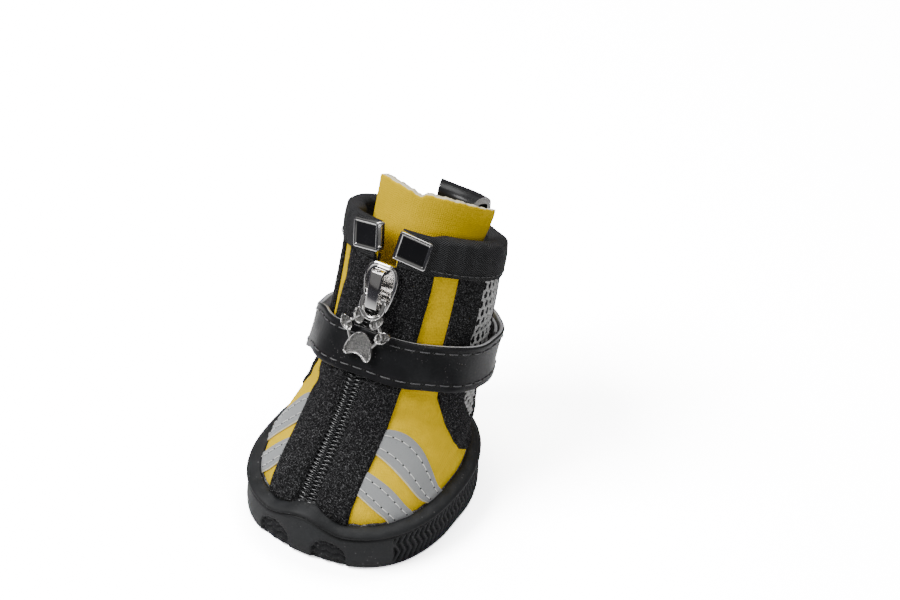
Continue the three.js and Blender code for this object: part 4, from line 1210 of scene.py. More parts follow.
class BOOT_OT_upper(BootOperator, bpy.types.Operator):
    """Makes the yellow hollow upper with its brown lining, open at the collar and along the zip"""

    bl_idname = "boot.upper"
    bl_label = "Make Upper"

    def execute(self, context):
        rows, columns = 150, 220
        lowest = level_at_lip(float(turn_at_x(ZIP_OFFSET, 0.2)), -2.0)
        level = np.linspace(0, 1, rows)[:, None]
        half = slit_half(level, lowest)
        start = turn_at_x(ZIP_OFFSET + half, level)
        end = 1 + turn_at_x(ZIP_OFFSET - half, level)
        turn = start + (end - start) * np.linspace(0, 1, columns)
        level = np.broadcast_to(level, turn.shape)
        flat = pressed(skin(turn, level)[..., 0], level) * on_front(turn)
        front = on_cloth(turn, level, 0.5 * flat)
        rear = on_cloth(turn, level, -UPPER_WALL + 2.1 * flat)
        maker = Maker()
        cloth = np.stack([turn * KNIT_GIRTH, level * LEVEL_LENGTH], -1)
        add_shell(maker, front, rear, (0, 1, 2), cloth)
        maker.make("upper_shell", [yellow_knit(), brown_lining(), black_loop_knit()],
                   replaces=("upper",))
        return {"FINISHED"}


TONGUE_THICKNESS = 1.6
TONGUE_WIDTH = 30.0
TONGUE_HEIGHT = 40.0
TONGUE_ROUND = 0.5
TONGUE_FOOT = 0.4
TONGUE_STAND_OFF = -(UPPER_WALL + 0.9 + 0.8 + 4 * FIT_GAP)
# Columns: share of the way up, left and right edge in turns
TONGUE_RUN = np.array([(0, -0.085, 0.1), (0.5, -0.16, 0.235), (1, -0.13, 0.305)])
# Shares across, and the height over the collar in mm there, with a small tear a third of the way along
TONGUE_TOP = (
    (0, 0.03, 0.08, 0.23, 0.32, 0.345, 0.38, 0.41, 1),
    (10.2, 10.8, 10.9, 10.1, 9.5, 8.9, 9.0, 9.9, 11.5),
)


class BOOT_OT_tongue(BootOperator, bpy.types.Operator):
    """Makes the soft tongue that stands above the collar, with its cut foam edge"""

    bl_idname = "boot.tongue"
    bl_label = "Make Tongue"

    def execute(self, context):
        rows = 110
        per_level = (1 - level_under_binding(0.0, FIT_GAP)) / BINDING_HEIGHT
        a = close_ends(90, TONGUE_WIDTH, TONGUE_ROUND)
        share = np.linspace(0, 1, rows)[:, None] * np.ones((1, len(a)))
        edges = look_up(TONGUE_RUN, share)
        left, right = edges[..., 0], edges[..., 1]
        turn = left + (right - left) * a
        ragged = 0.1 * np.sin(a * 61) + 0.07 * np.sin(a * 143 + 1)
        top = 1 + (np.interp(a, *TONGUE_TOP) + ragged) * per_level
        level = TONGUE_FOOT + (top - TONGUE_FOOT) * share
        bow = 0.5 * np.sin(math.pi * a) * smooth_step(0.6, 1, share)
        flare = 1.9 * smooth_step(0.6, 1, a) * smooth_step(0.78, 1, share)
        outward = TONGUE_STAND_OFF + bow + flare
        edge = np.minimum(a, 1 - a) * TONGUE_WIDTH
        thin = np.sqrt(np.maximum(0, 1 - (1 - np.minimum(1, edge / TONGUE_ROUND)) ** 2))
        half = TONGUE_THICKNESS / 2 * (0.75 + 0.25 * thin)
        front = on_skin(turn, level, outward - TONGUE_THICKNESS / 2 + half)
        rear = on_skin(turn, level, outward - TONGUE_THICKNESS / 2 - half)
        cloth = np.stack([np.broadcast_to(a * TONGUE_WIDTH, share.shape), share * TONGUE_HEIGHT], -1)
        maker = Maker()
        add_shell(maker, front, rear, (0, 0, 1), cloth)
        piece = maker.make("tongue_flap", [yellow_knit(), cream_foam()],
                           replaces=("tongue",))
        return {"FINISHED"}


def upright(x, turn_at, lower, upper):
    """Turn and level for a share up a line at a set distance from the middle."""
    low = level_at_lip(float(turn_at(x, 0.2)), lower)
    high = level_under_binding(float(turn_at(x, 0.9)), upper)

    def line(share):
        level = low + (high - low) * share
        return turn_at(x, level), level
    return line


def across_lines(near, far, a, b):
    """Turn and level at a share a of the way from one line to another, at a share b along both."""
    turn0, level0 = near(b)
    turn1, level1 = far(b)
    return turn0 + (turn1 - turn0) * a, level0 + (level1 - level0) * a


def between(near, far):
    """place(a, b, off) for a sheet between two lines on the creased upper."""
    def place(a, b, off):
        return on_cloth(*across_lines(near, far, a, b), off)
    return place


def fibres(maker, grid, count, seed, length=0.5, radius=0.03, finish=0):
    """Loose fibres standing off a grid of points, bent at random."""
    rng = np.random.default_rng(seed)
    rows, columns = grid.shape[:2]
    j = rng.integers(1, rows - 2, count)
    i = rng.integers(1, columns - 2, count)
    base = grid[j, i] + (grid[j + 1, i + 1] - grid[j, i]) * rng.random((count, 1))
    normal = unit(np.cross(grid[j, i + 1] - grid[j, i], grid[j + 1, i] - grid[j, i]))
    lean = rng.normal(0, 0.6, (count, 3))
    long = length * rng.uniform(0.4, 1.1, (count, 1))
    middle = base + long * 0.5 * unit(normal + lean * 0.7)
    tip = middle + long * 0.5 * unit(normal * 0.6 + lean * 1.4)
    root = base - 0.05 * normal
    side = unit(rng.normal(0, 1, (count, 3)))[:, None, :].repeat(3, 1)
    tubes(maker, np.stack([root, middle, tip], 1), side, np.array([radius, radius, radius * 0.5]), 3, finish)


class BOOT_OT_zip_bands(BootOperator, bpy.types.Operator):
    """Makes the black knit bands beside the zip"""

    bl_idname = "boot.zip_bands"
    bl_label = "Make Zip Bands"

    def execute(self, context):
        for name, side in (("left", -1), ("right", 1)):
            inner = ZIP_OFFSET + side * (ZIP_SLIT / 2 - 0.35)
            outer = ZIP_OFFSET + side * (ZIP_SLIT / 2 + FIT_GAP + BAND_WIDTH)
            lines = [upright(x, turn_at_x, -0.9, 1.0) for x in sorted((inner, outer))]
            maker = Maker()

            def waves(a, b):
                inner_edge = a if side > 0 else 1 - a
                bulge = 0.25 * np.sin(math.pi * a) - 0.5 * smooth_step(0.14, 0.0, inner_edge)
                return bulge + 0.1 * np.sin(b * 23 + a * 3) * np.sin(b * 7 + side)

            front = slab(maker, between(*lines), 26, 190, 0.05, 0.8, 0.7, back=-0.3, texture=waves)
            fibres(maker, front, sizes().fibres, 11 + side)
            maker.make(f"knit_band_{name}", [black_loop_knit()], replaces=(f"zip_band_{name}",))
        return {"FINISHED"}


SLIDER_LEVEL = 0.852
SLIDER_HALF_LENGTH = 6.0


class BOOT_OT_zip_chain(BootOperator, bpy.types.Operator):
    """Makes the woven tape and the two nylon coils"""

    bl_idname = "boot.zip_chain"
    bl_label = "Make Zip Chain"

    def execute(self, context):
        maker = Maker()
        low = level_at_lip(float(turn_at_x(ZIP_OFFSET, 0.2)), -1.0)
        high = SLIDER_LEVEL + 0.5 * SLIDER_HALF_LENGTH / LEVEL_LENGTH
        levels = np.linspace(low, high, 400)
        middle = on_cloth(turn_at_x(ZIP_OFFSET, levels), levels)
        along = lengths_along(middle)
        lines = [upright(ZIP_OFFSET + x, turn_at_x, -1.0, -1.5) for x in (-2.9, 2.9)]
        slab(maker, between(*lines), 12, 150, -0.75, 0.2, 0.2, back=-1.3, finish=1)
        pitch, steps = sizes().coil_pitch, 14
        turns = int(along[-1] / pitch)
        for side in (-1, 1):
            angle = np.arange(turns * steps + 1) / steps * TWO_PI
            at = angle / TWO_PI * pitch + (0.5 * pitch if side > 0 else 0)
            level = np.interp(at, along, levels)
            spread = 1.1 + 0.9 * smooth_step(SLIDER_LEVEL, high, level)
            x = ZIP_OFFSET + side * (spread - 1.3 * np.cos(angle))
            off = 0.1 + 0.6 * np.sin(angle)
            path = on_cloth(turn_at_x(x, level), level, off)
            normals = skin_frame(turn_at_x(x, level), level)[2]
            tubes(maker, path[None], normals[None], 0.21, 6, 0, 0.85)
        maker.make("zip_coils", [nylon_coil(), zip_tape()], replaces=("zip_chain",))
        return {"FINISHED"}


def edge_line(edge, side, top=0.0):
    """Turn and level at a share along an edge table, mirrored for the -X side."""
    def line(share):
        at = np.asarray(share) * (len(edge) - 1)
        k = np.minimum(at.astype(int), len(edge) - 2)
        f = at - k
        turn = edge[k, 0] + (edge[k + 1, 0] - edge[k, 0]) * f
        level = edge[k, 1] + (edge[k + 1, 1] - edge[k, 1]) * f
        highest = level_under_binding(side * float(edge[-1, 0]), top)
        return side * turn, np.minimum(level, highest)
    return line


SHAFT_GIRTH = 125.0


def mesh_edges(level):
    return [np.interp(level, edge[:, 1], edge[:, 0]) for edge in (MESH_FRONT_EDGE, MESH_REAR_EDGE)]


def mesh_room(turn, level, side):
    """Distance in mm into the window of the side panel; negative outside it."""
    ahead, behind = mesh_edges(level)
    around = np.minimum(side * turn - ahead, behind - side * turn) * SHAFT_GIRTH
    return np.minimum(around, (level - MESH_FRONT_EDGE[0, 1]) * LEVEL_LENGTH)


def mesh_lattice(maker, side):
    """Strands of the open mesh round six-sided holes, kept inside the window."""
    pitch = sizes().mesh_pitch
    level_step = pitch * 0.86 / LEVEL_LENGTH
    strands = []
    for row in range(60):
        for column in range(-5, 6):
            level = 0.34 + row * level_step
            middle = (column + 0.5 * (row % 2)) * pitch
            corners = [(middle + pitch * 0.5 * math.sin(k * math.pi / 3) * 1.155,
                        level + level_step * 0.67 * math.cos(k * math.pi / 3)) for k in range(4)]
            strands += [(corners[k], corners[k + 1]) for k in range(3)]
    strands = np.array(strands)
    level = strands[..., 1]
    turn = side * (0.5 * sum(mesh_edges(level)) + strands[..., 0] / SHAFT_GIRTH)
    kept = mesh_room(turn, level, side) > -1.2
    inside = kept.all(axis=1) & (level.max(axis=1) < level_under_binding(side * 0.25) + 0.02)
    turn, level = turn[inside], level[inside]
    share = np.array([0, 0.5, 1])
    turns = turn[:, :1] + (turn[:, 1:] - turn[:, :1]) * share
    levels = level[:, :1] + (level[:, 1:] - level[:, :1]) * share
    paths = on_cloth(turns, levels, 0.32 + 0.1 * np.array([1, -1, 1]))
    normals = skin_frame(turns, levels)[2]
    tubes(maker, paths, normals, np.array([0.56, 0.42, 0.56]), 6, 0, 0.5)


class BOOT_OT_side_panels(BootOperator, bpy.types.Operator):
    """Makes the black side panels with their windows and the silver mesh in them"""

    bl_idname = "boot.side_panels"
    bl_label = "Make Side Panels"

    def execute(self, context):
        for name, side in (("left", -1), ("right", 1)):
            ahead, behind = edge_line(SIDE_FRONT_EDGE, side, 1.0), edge_line(SIDE_REAR_EDGE, side, 1.0)
            near, far = (ahead, behind) if side > 0 else (behind, ahead)

            def window(a, b):
                return -0.62 * smooth_step(-0.15, 0.3, mesh_room(*across_lines(near, far, a, b), side))

            panel = Maker()
            front = slab(panel, between(near, far), 120, 170, 0.05, 0.7, 0.6, back=-0.3, texture=window)
            fibres(panel, front, sizes().fibres // 2, 21 + side)
            panel.make(f"knit_panel_{name}", [black_loop_knit()],
                       replaces=(f"side_panel_{name}",))
            lattice = Maker()
            mesh_lattice(lattice, side)
            lattice.make(f"open_mesh_{name}", [silver_mesh()], replaces=(f"mesh_{name}",))
        return {"FINISHED"}


def tape_line(edge, side):
    level_near, middle, turn_end = edge
    band_edge = ZIP_OFFSET + side * (ZIP_SLIT / 2 + FIT_GAP + BAND_WIDTH - 1.0)
    start = (abs(float(turn_at_x(band_edge, level_near))), level_near)
    end = (turn_end, level_at_lip(side * turn_end, -0.6))

    def line(share):
        a, b, c = (1 - share) * (1 - 2 * share), 4 * share * (1 - share), share * (2 * share - 1)
        turn = a * start[0] + b * middle[0] + c * end[0]
        return side * turn, a * start[1] + b * middle[1] + c * end[1]
    return line


class BOOT_OT_tapes(BootOperator, bpy.types.Operator):
    """Makes the reflective tapes with two rows of stitches each"""

    bl_idname = "boot.tapes"
    bl_label = "Make Reflective Tapes"

    def execute(self, context):
        for name, side in (("left", -1), ("right", 1)):
            for label, (upper, lower) in TAPES.items():
                lines = [tape_line(upper, side), tape_line(lower, side)]
                ordered = lines if side > 0 else lines[::-1]
                maker = Maker()
                slab(maker, between(*ordered), 14, 90, 0.05, 0.42, 0.25, back=-0.2)
                place = between(*lines)
                share = np.linspace(0.0, 0.97, 160)
                for a in (0.24, 0.74):
                    points, normals = cloth_line(*across_lines(*lines, a, share), 0.48)
                    stitches(maker, points, normals, sizes().tape_stitch, 1.75, 0.13, 1, rise=0.14, hole=3)
                edge = place(np.full(160, 1.0), share, np.full(160, 0.25))
                normal = unit(edge - place(np.full(160, 1.0), share, np.zeros(160)))
                tubes(maker, edge[None], normal[None], 0.22, 6, 2)
                finishes = [reflective_tape(), pale_thread(), cream_foam(), needle_hole()]
                maker.make(f"tape_{label}_{name}_sewn", finishes,
                           replaces=(f"tape_{label}_{name}",))
        return {"FINISHED"}


STAY_WIDTH = 11.0


class BOOT_OT_heel_stay(BootOperator, bpy.types.Operator):
    """Makes the coated stay up the back with its two rows of stitches"""

    bl_idname = "boot.heel_stay"
    bl_label = "Make Heel Stay"

    def execute(self, context):
        right, left = (upright(x, back_turn_at_x, -0.6, 1.0) for x in (STAY_WIDTH / 2, -STAY_WIDTH / 2))
        maker = Maker()
        slab(maker, between(right, left), 20, 110, 0.05, 0.75, 0.3, back=-0.2, back_finish=1)
        share = np.linspace(0.03, 0.97, 200)
        for x in (-4.0, 4.0):
            level = upright(x, back_turn_at_x, 0, 0)(share)[1]
            points, normals = cloth_line(back_turn_at_x(x, level), level, 0.8)
            stitches(maker, points, normals, sizes().strap_stitch, 2.6, 0.17, 2, hole=3)
        finishes = [stay_leather(), cut_edge(), pale_thread(), needle_hole()]
        maker.make("stay_strip", finishes, replaces=("heel_stay",))
        return {"FINISHED"}


def arc(cx, cy, radius_x, radius_y, start, end, count):
    angle = np.linspace(start, end, count)
    return np.stack([cx + radius_x * np.cos(angle), cy + radius_y * np.sin(angle)], -1)


def collar_run(maker, turns, count, outline, uneven):
    """Closed outline in stand-off and lift, carried round the collar's edge."""
    share = np.linspace(0, 1, count)[:, None]
    turn = turns[0] + (turns[1] - turns[0]) * share
    stand_off, lift = (np.broadcast_to(column, (count, len(outline))) for column in outline.T)
    points = on_skin(turn, 1.0, *uneven(share, turn, stand_off, lift))
    along = lengths_along(on_skin(turn[:, 0], 1.0))
    girth = lengths_along(np.column_stack([outline, np.zeros(len(outline))]))
    add_rings(maker, points, np.stack(np.broadcast_arrays(along[:, None], girth[None]), -1))


def rounded_u(out, inn, low_out, low_in, top, thickness, puff, steps=8):
    """Outline of a strip folded over an edge, seen along it: (stand-off, lift), with round ends."""
    middle, reach = (out + inn) / 2, (out - inn) / 2 + thickness
    half, inner = thickness / 2, reach - thickness
    share = np.arange(1, steps)[:, None] / steps
    outside = (out + thickness, low_out + half) + share * (0, top - low_out)
    outside = outside + np.sin(math.pi * share) * (puff, 0)
    inside = (inn - thickness, low_in) + (1 - share) * (0, top - low_in)
    return np.vstack([
        arc(out + half, low_out + half, half, half, -math.pi, 0, 5), outside,
        arc(middle, top + half, reach, reach * 0.55, 0, math.pi, 13), inside,
        arc(inn - half, low_in + half, half, half, -math.pi, 0, 5),
        arc(middle, top, inner, inner * 0.3, math.pi, 0, 9),
    ])[::-1]


CLASP_GAP = 4.0


class BOOT_OT_binding(BootOperator, bpy.types.Operator):
    """Makes the elastic binding over the collar's edge"""

    bl_idname = "boot.binding"
    bl_label = "Make Collar Binding"

    def execute(self, context):
        maker = Maker()
        middle = float(turn_at_x(ZIP_OFFSET, 1.0))
        gap = float(turn_at_x(ZIP_OFFSET + CLASP_GAP / 2 + 0.9, 1.0)) - middle
        outline = rounded_u(0.0, -UPPER_WALL, -BINDING_HEIGHT - 0.3, -BINDING_HEIGHT, FIT_GAP, 1.25, 0.3)

        def uneven(share, turn, stand_off, lift):
            slack = 0.22 * np.sin(share * 47) * np.sin(share * 19 + 0.6)
            pucker = 0.08 * np.sin(share * 330) * smooth_step(-4.5, -6.5, lift)
            outside = smooth_step(0, 1.2, stand_off)
            ends = smooth_step(0, 0.05, share) * smooth_step(1, 0.95, share)
            flat = pressed(skin(turn, 1.0)[..., 0], 1.0) * on_front(turn)
            squeezed = -0.1 + (stand_off + 3.3) * 0.36
            stand_off = stand_off + (slack + pucker) * outside * ends
            lift = lift + 0.18 * np.sin(share * 61) * outside * ends
            return stand_off + (squeezed - stand_off) * flat, lift

        collar_run(maker, (middle + gap, middle + 1 - gap), 420, outline, uneven)
        turn = np.linspace(middle + gap + 0.02, middle + 1 - gap - 0.02, 500)
        points = on_skin(turn, 1.0, 1.35, -BINDING_HEIGHT + 1.1)
        stitches(maker, points, skin_frame(turn, 1.0)[2], 2.0, 1.5, 0.12, 1, rise=0.12)
        maker.make("binding_elastic", [black_elastic(), black_thread()],
                   replaces=("collar_binding",))
        return {"FINISHED"}


LOOP_WIDTH = 12.5
LOOP_THICKNESS = 1.1
LOOP_OUTSIDE = 1.5


class BOOT_OT_pull_loop(BootOperator, bpy.types.Operator):
    """Makes the folded strip over the collar at the back"""

    bl_idname = "boot.pull_loop"
    bl_label = "Make Pull Loop"

    def execute(self, context):
        half = 0.5 - float(back_turn_at_x(LOOP_WIDTH / 2, 1.0))
        maker = Maker()
        outline = rounded_u(LOOP_OUTSIDE, -3.5, -8.2, -7.2, 6.2, LOOP_THICKNESS, 0.2, steps=14)

        def uneven(at, _, stand_off, lift):
            near_top = smooth_step(0, 8, lift)
            pinch = near_top * np.where(stand_off > -1, -0.5, 0.5)
            lean = near_top * (0.45 + 1.3 * (at - 0.5))
            lean = lean + 0.3 * near_top * np.cos(at * 4)
            return stand_off + pinch + 0.25 * near_top * np.sin(at * 3.1), lift + lean

        collar_run(maker, (0.494 - half, 0.494 + half), 21, outline, uneven)
        maker.finish = [2 if len(face) > 4 else 0 for face in maker.faces]
        for x in (-4.6, 4.6):
            turn = float(back_turn_at_x(x, 1.0)) - 0.006
            lift = np.linspace(-7.6, 6.0, 60)
            points = on_skin(np.full(60, turn), 1.0, LOOP_OUTSIDE + LOOP_THICKNESS + 0.02, lift)
            normals = np.broadcast_to(skin_frame(turn, 1.0)[2], points.shape)
            stitches(maker, points, normals, sizes().strap_stitch, 2.6, 0.17, 1, hole=3)
        finishes = [stay_leather(), black_thread(), cut_edge(), needle_hole()]
        maker.make("loop_strip", finishes, replaces=("pull_loop",), sharp=50)
        return {"FINISHED"}


CLASP_WIDTH = 8.3
CLASP_TALL = 7.4
CLASP_LIFT = -2.3
CLASP_CORNER = 0.7
# Inset and height, from the back over the raised frame to the sunk face
CLASP_PROFILE = (
    (0.8, -0.45), (0.2, -0.45), (0.0, -0.2), (0.0, 1.75), (0.08, 1.93), (0.24, 2.0), (0.58, 2.0),
    (0.72, 1.93), (0.86, 1.74), (0.94, 1.7), (1.1, 1.7), (1.6, 1.7),
)


class BOOT_OT_clasps(BootOperator, bpy.types.Operator):
    """Makes the two flat clasps pressed on the ends of the binding, each a sunk mirror in a raised frame"""

    bl_idname = "boot.clasps"
    bl_label = "Make Clasps"

    def execute(self, context):
        wide = CLASP_WIDTH / 2

        def loop(inset):
            return rounded_box(wide - inset, CLASP_TALL / 2 - inset, max(0.12, CLASP_CORNER - inset))

        for name, side, turned in (("left", -1, 9.0), ("right", 1, -8.5)):
            x = ZIP_OFFSET + side * (CLASP_GAP / 2 - FIT_GAP + wide)
            turn = float(turn_at_x(x, 1.0))
            across, up, out = skin_frame(turn, 1.0)
            centre = on_skin(turn, 1.0, 0.0, CLASP_LIFT)
            c, s = math.cos(math.radians(turned)), math.sin(math.radians(turned))
            axes = np.stack([across * c + up * s, up * c - across * s, out])
            maker = Maker()
            relief_plate(maker, loop, CLASP_PROFILE, lambda points: centre + points @ axes, sunk_from=8)
            maker.make(f"clasp_plate_{name}", [nickel(), mirror_nickel()],
                       replaces=(f"clasp_{name}",), sharp=30)
        return {"FINISHED"}


class BOOT_OT_strap(BootOperator, bpy.types.Operator):
    """Makes the ankle strap with its cut edges and stitches"""

    bl_idname = "boot.strap"
    bl_label = "Make Ankle Strap"

    def execute(self, context):
        first, last = STRAP_RUN[0, 0], STRAP_RUN[-1, 0]

        def place(a, b, off):
            turn = first + (last - first) * b
            level, stand_off, curl = np.moveaxis(look_up(STRAP_RUN, turn), -1, 0)
            high = (0.5 - a) * 2
            cup = curl * high ** 2 + 0.12 * np.sin(b * 70) * high
            return on_skin(turn, level, stand_off + cup + off, high * STRAP_WIDTH / 2)

        maker = Maker()
        # The rim takes the pale cut edge, which also paints the bright highlight line along the strap's top
        # edge
        slab(maker, place, 20, 420, 0.7, STRAP_THICKNESS - 0.7, 0.28, back=0.0, back_finish=1)
        share = np.linspace(0.01, 0.985, 900)
        for down in (0.85, 0.15):
            points = place(np.full(900, down), share, np.full(900, STRAP_THICKNESS + 0.02))
            normals = unit(points - place(np.full(900, down), share, np.zeros(900)))
            stitches(maker, points, normals, sizes().strap_stitch, 2.5, 0.17, 2, rise=0.13, hole=3)
        finishes = [strap_leather(), cut_edge(), black_thread(), needle_hole()]
        piece = maker.make("strap_band", finishes, replaces=("ankle_strap",))
        middle = lengths_along(place(np.full(400, 0.5), np.linspace(0, 1, 400), np.zeros(400)))[-1]
        return {"FINISHED"}


# Slider and pull, in the slider's own axes: X to the side, Y up the shaft, Z out from it

SLIDER_WIDTH = 8.8
SLIDER_PLATE = 1.2
BRIDGE_WIDTH = 3.0
BRIDGE_LENGTH = 9.6
BRIDGE_BAR = 1.0
PULL_THICKNESS = 1.3
PULL_PLAY = 0.65
SLIDER_TOP = FIT_GAP + 0.8 + FIT_GAP + SLIDER_PLATE
TUNNEL = PULL_THICKNESS + 1.4 * PULL_PLAY
HINGE_Y = -BRIDGE_LENGTH / 2 + BRIDGE_BAR + PULL_PLAY + PULL_THICKNESS / 2
HINGE_Z = SLIDER_TOP + TUNNEL / 2


def slider_axes():
    turn = float(turn_at_x(ZIP_OFFSET, SLIDER_LEVEL))
    up = skin_frame(0.0, SLIDER_LEVEL)[1]
    side = np.array([1.0, 0, 0])
    out = unit(np.cross(side, up))
    origin = skin(turn, SLIDER_LEVEL)
    origin[0] = ZIP_OFFSET + float(zip_drift(SLIDER_LEVEL)) + 0.45
    return origin, np.stack([side, up, out])


def to_boot(points):
    origin, axes = slider_axes()
    return origin + np.asarray(points, float) @ axes


def offset_loop(loop, inset):
    """Closed outline moved inward along its own normals."""
    ahead, behind = np.roll(loop, -1, axis=0), np.roll(loop, 1, axis=0)
    tangent = unit(ahead - behind)
    return loop + inset * np.stack([-tangent[:, 1], tangent[:, 0]], -1)


def even_loop(corners, count):
    corners = np.asarray(corners, float)
    closed = np.vstack([corners, corners[:1]])
    along = lengths_along(closed)
    at = np.arange(count) / count * along[-1]
    return np.stack([np.interp(at, along, closed[:, k]) for k in range(2)], -1)


def relief_plate(maker, loop, profile, place=to_boot, sunk_from=math.inf):
    """Plate inside a counter-clockwise loop, with a profile of (inset, height) from its back to its front.

    From row sunk_from on it has its piece's second finish.
    """
    rings = []
    for inset, height in profile:
        ring = loop(inset) if callable(loop) else offset_loop(loop, inset)
        rings.append(np.column_stack([ring, np.full(len(ring), height)]))
    count = len(rings[0])
    centre = rings[0][:, :2].mean(axis=0)
    points = np.concatenate(rings + [[[*centre, profile[0][1]], [*centre, profile[-1][1]]]])
    faces = grid_faces(len(rings), count, wrapped=True).tolist()
    finishes = [int(k // count >= sunk_from) for k in range(len(faces))]
    last, back, front = (len(rings) - 1) * count, len(points) - 2, len(points) - 1
    for k in range(count):
        after = (k + 1) % count
        faces += [[back, after, k], [front, last + k, last + after]]
        finishes += [0, int(sunk_from < math.inf)]
    maker.add(place(points), faces, finishes)


def rounded_box(wide, tall, corner):
    """Counter-clockwise outline of a rounded rectangle, six points a corner."""
    wide, tall, quarter = wide - corner, tall - corner, math.pi / 2
    starts = ((1, -1, -quarter), (1, 1, 0), (-1, 1, quarter), (-1, -1, math.pi))
    return np.vstack([arc(x * wide, y * tall, corner, corner, start, start + quarter, 6)
                      for x, y, start in starts])


def curve_points(*corners, count=10):
    """Points of a smooth curve with the given control corners."""
    t = np.linspace(0, 1, count)[:, None]
    if len(corners) == 3:
        p0, p1, p2 = (np.array(c, float) for c in corners)
        return (1 - t) ** 2 * p0 + 2 * t * (1 - t) * p1 + t ** 2 * p2
    p0, p1, p2, p3 = (np.array(c, float) for c in corners)
    return (1 - t) ** 3 * p0 + 3 * t * (1 - t) ** 2 * p1 + 3 * t ** 2 * (1 - t) * p2 + t ** 3 * p3


def slider_plate(maker):
    """Domed plate with a raised edge, and the keel under it."""
    half, end = SLIDER_WIDTH / 2, SLIDER_HALF_LENGTH
    right = np.vstack([
        [(half * 0.62, -end)],
        curve_points((half * 0.62, -end), (half * 0.97, -end * 0.4), (half, end * 0.3))[1:],
        curve_points((half, end * 0.3), (half * 0.97, end * 0.92), (half * 0.42, end))[1:],
    ])
    low, high = SLIDER_TOP - SLIDER_PLATE, SLIDER_TOP
    relief_plate(maker, even_loop(np.vstack([right, right[::-1] * (-1, 1)]), 120), [
        (1.0, low), (0.15, low), (0.0, low + 0.15), (0.0, high - 0.35), (0.08, high - 0.14), (0.3, high),
        (0.55, high - 0.02), (0.75, high - 0.2), (1.2, high - 0.26),
    ])
    keel = [(x, y * end * 0.9) for x, y in ((-2.35, -1), (2.35, -1), (2.35, 1), (-2.35, 1))]
    relief_plate(maker, even_loop(keel, 60), [(0.3, 0.75), (0.0, 0.85), (0.0, low + 0.3)])


def slider_bridge(maker):
    """Box bridge with an eased top, hollow for the pull's bar."""
    width, long, bar = BRIDGE_WIDTH / 2, BRIDGE_LENGTH / 2, BRIDGE_BAR
    across = [(-width, 0.0), (-width + 0.12, 0.12), (-width + 0.45, 0.18), (width - 0.45, 0.18),
              (width - 0.12, 0.12), (width, 0.0)]
    foot, ceiling = SLIDER_TOP - 0.4, SLIDER_TOP + TUNNEL
    top = ceiling + bar - 0.18
    outer = [
        (-long, foot), (-long, top - 0.5), (-long + 0.15, top - 0.12), (-long + 0.5, top),
        (long - 0.9, top), (long - 0.35, top - 0.2), (long, top - 0.9), (long, foot),
    ]
    inner = [
        (-long + bar, foot), (-long + bar, ceiling - 0.25), (-long + bar + 0.25, ceiling),
        (-long + bar + 0.5, ceiling), (long - bar - 0.6, ceiling), (long - bar - 0.2, ceiling - 0.15),
        (long - bar, ceiling - 0.6), (long - bar, foot),
    ]
    outside = np.array([[(x, y, z + rise * (z > foot)) for x, rise in across] for y, z in outer])
    inside = np.array([[(x, y, z) for x, _ in across] for y, z in inner])
    add_shell(maker, to_boot(outside), to_boot(inside))


class BOOT_OT_slider(BootOperator, bpy.types.Operator):
    """Makes the zip's slider with its domed plate and box bridge"""

    bl_idname = "boot.slider"
    bl_label = "Make Slider"

    def execute(self, context):
        maker = Maker()
        slider_plate(maker)
        slider_bridge(maker)
        maker.make("slider_body", [nickel()], replaces=("zip_slider",), sharp=35)
        return {"FINISHED"}


PULL_SWING = math.radians(8)
PULL_LEAN = math.radians(4.5)
PAD_WIDTH = 8.8
PAD_LENGTH = 6.8
RING_LENGTH = 5.8
PAD_TO_RING = 3.0
TOE_WIDTH = 3.0
TOE_LENGTH = 4.3
TOE_NECK = 0.9
# Columns: across and up as shares of the pad, and how far the toe is turned
PAW_TOES = ((0.56, 0.56, -0.87), (0.27, 1.0, -0.42))
# Insets in mm, and heights as shares of half the thickness, from the back over the rim to the sunk ground
PAD_PROFILE = (
    (1.2, -0.8), (0.25, -0.85), (0.03, -0.6), (0, 0), (0.03, 0.6), (0.14, 0.95), (0.26, 1), (0.4, 0.85),
    (0.52, 0.2), (0.62, 0.1), (1.1, 0.1),
)
TOE_PROFILE = (
    (0.9, -0.8), (0.2, -0.85), (0.03, -0.6), (0, 0), (0.03, 0.6), (0.12, 0.95), (0.22, 1), (0.34, 0.85),
    (0.44, 0.1), (0.52, -0.1), (0.8, -0.1),
)


def pull_to_boot(points):
    """From the pull's own axes, with the hinge at the origin, to the boot's."""
    turned = Matrix.Rotation(-PULL_SWING, 3, "X") @ Matrix.Rotation(-PULL_LEAN, 3, "Z")
    moved = np.asarray(points, float) @ np.array(turned).T
    return to_boot(moved + (0, HINGE_Y, HINGE_Z))


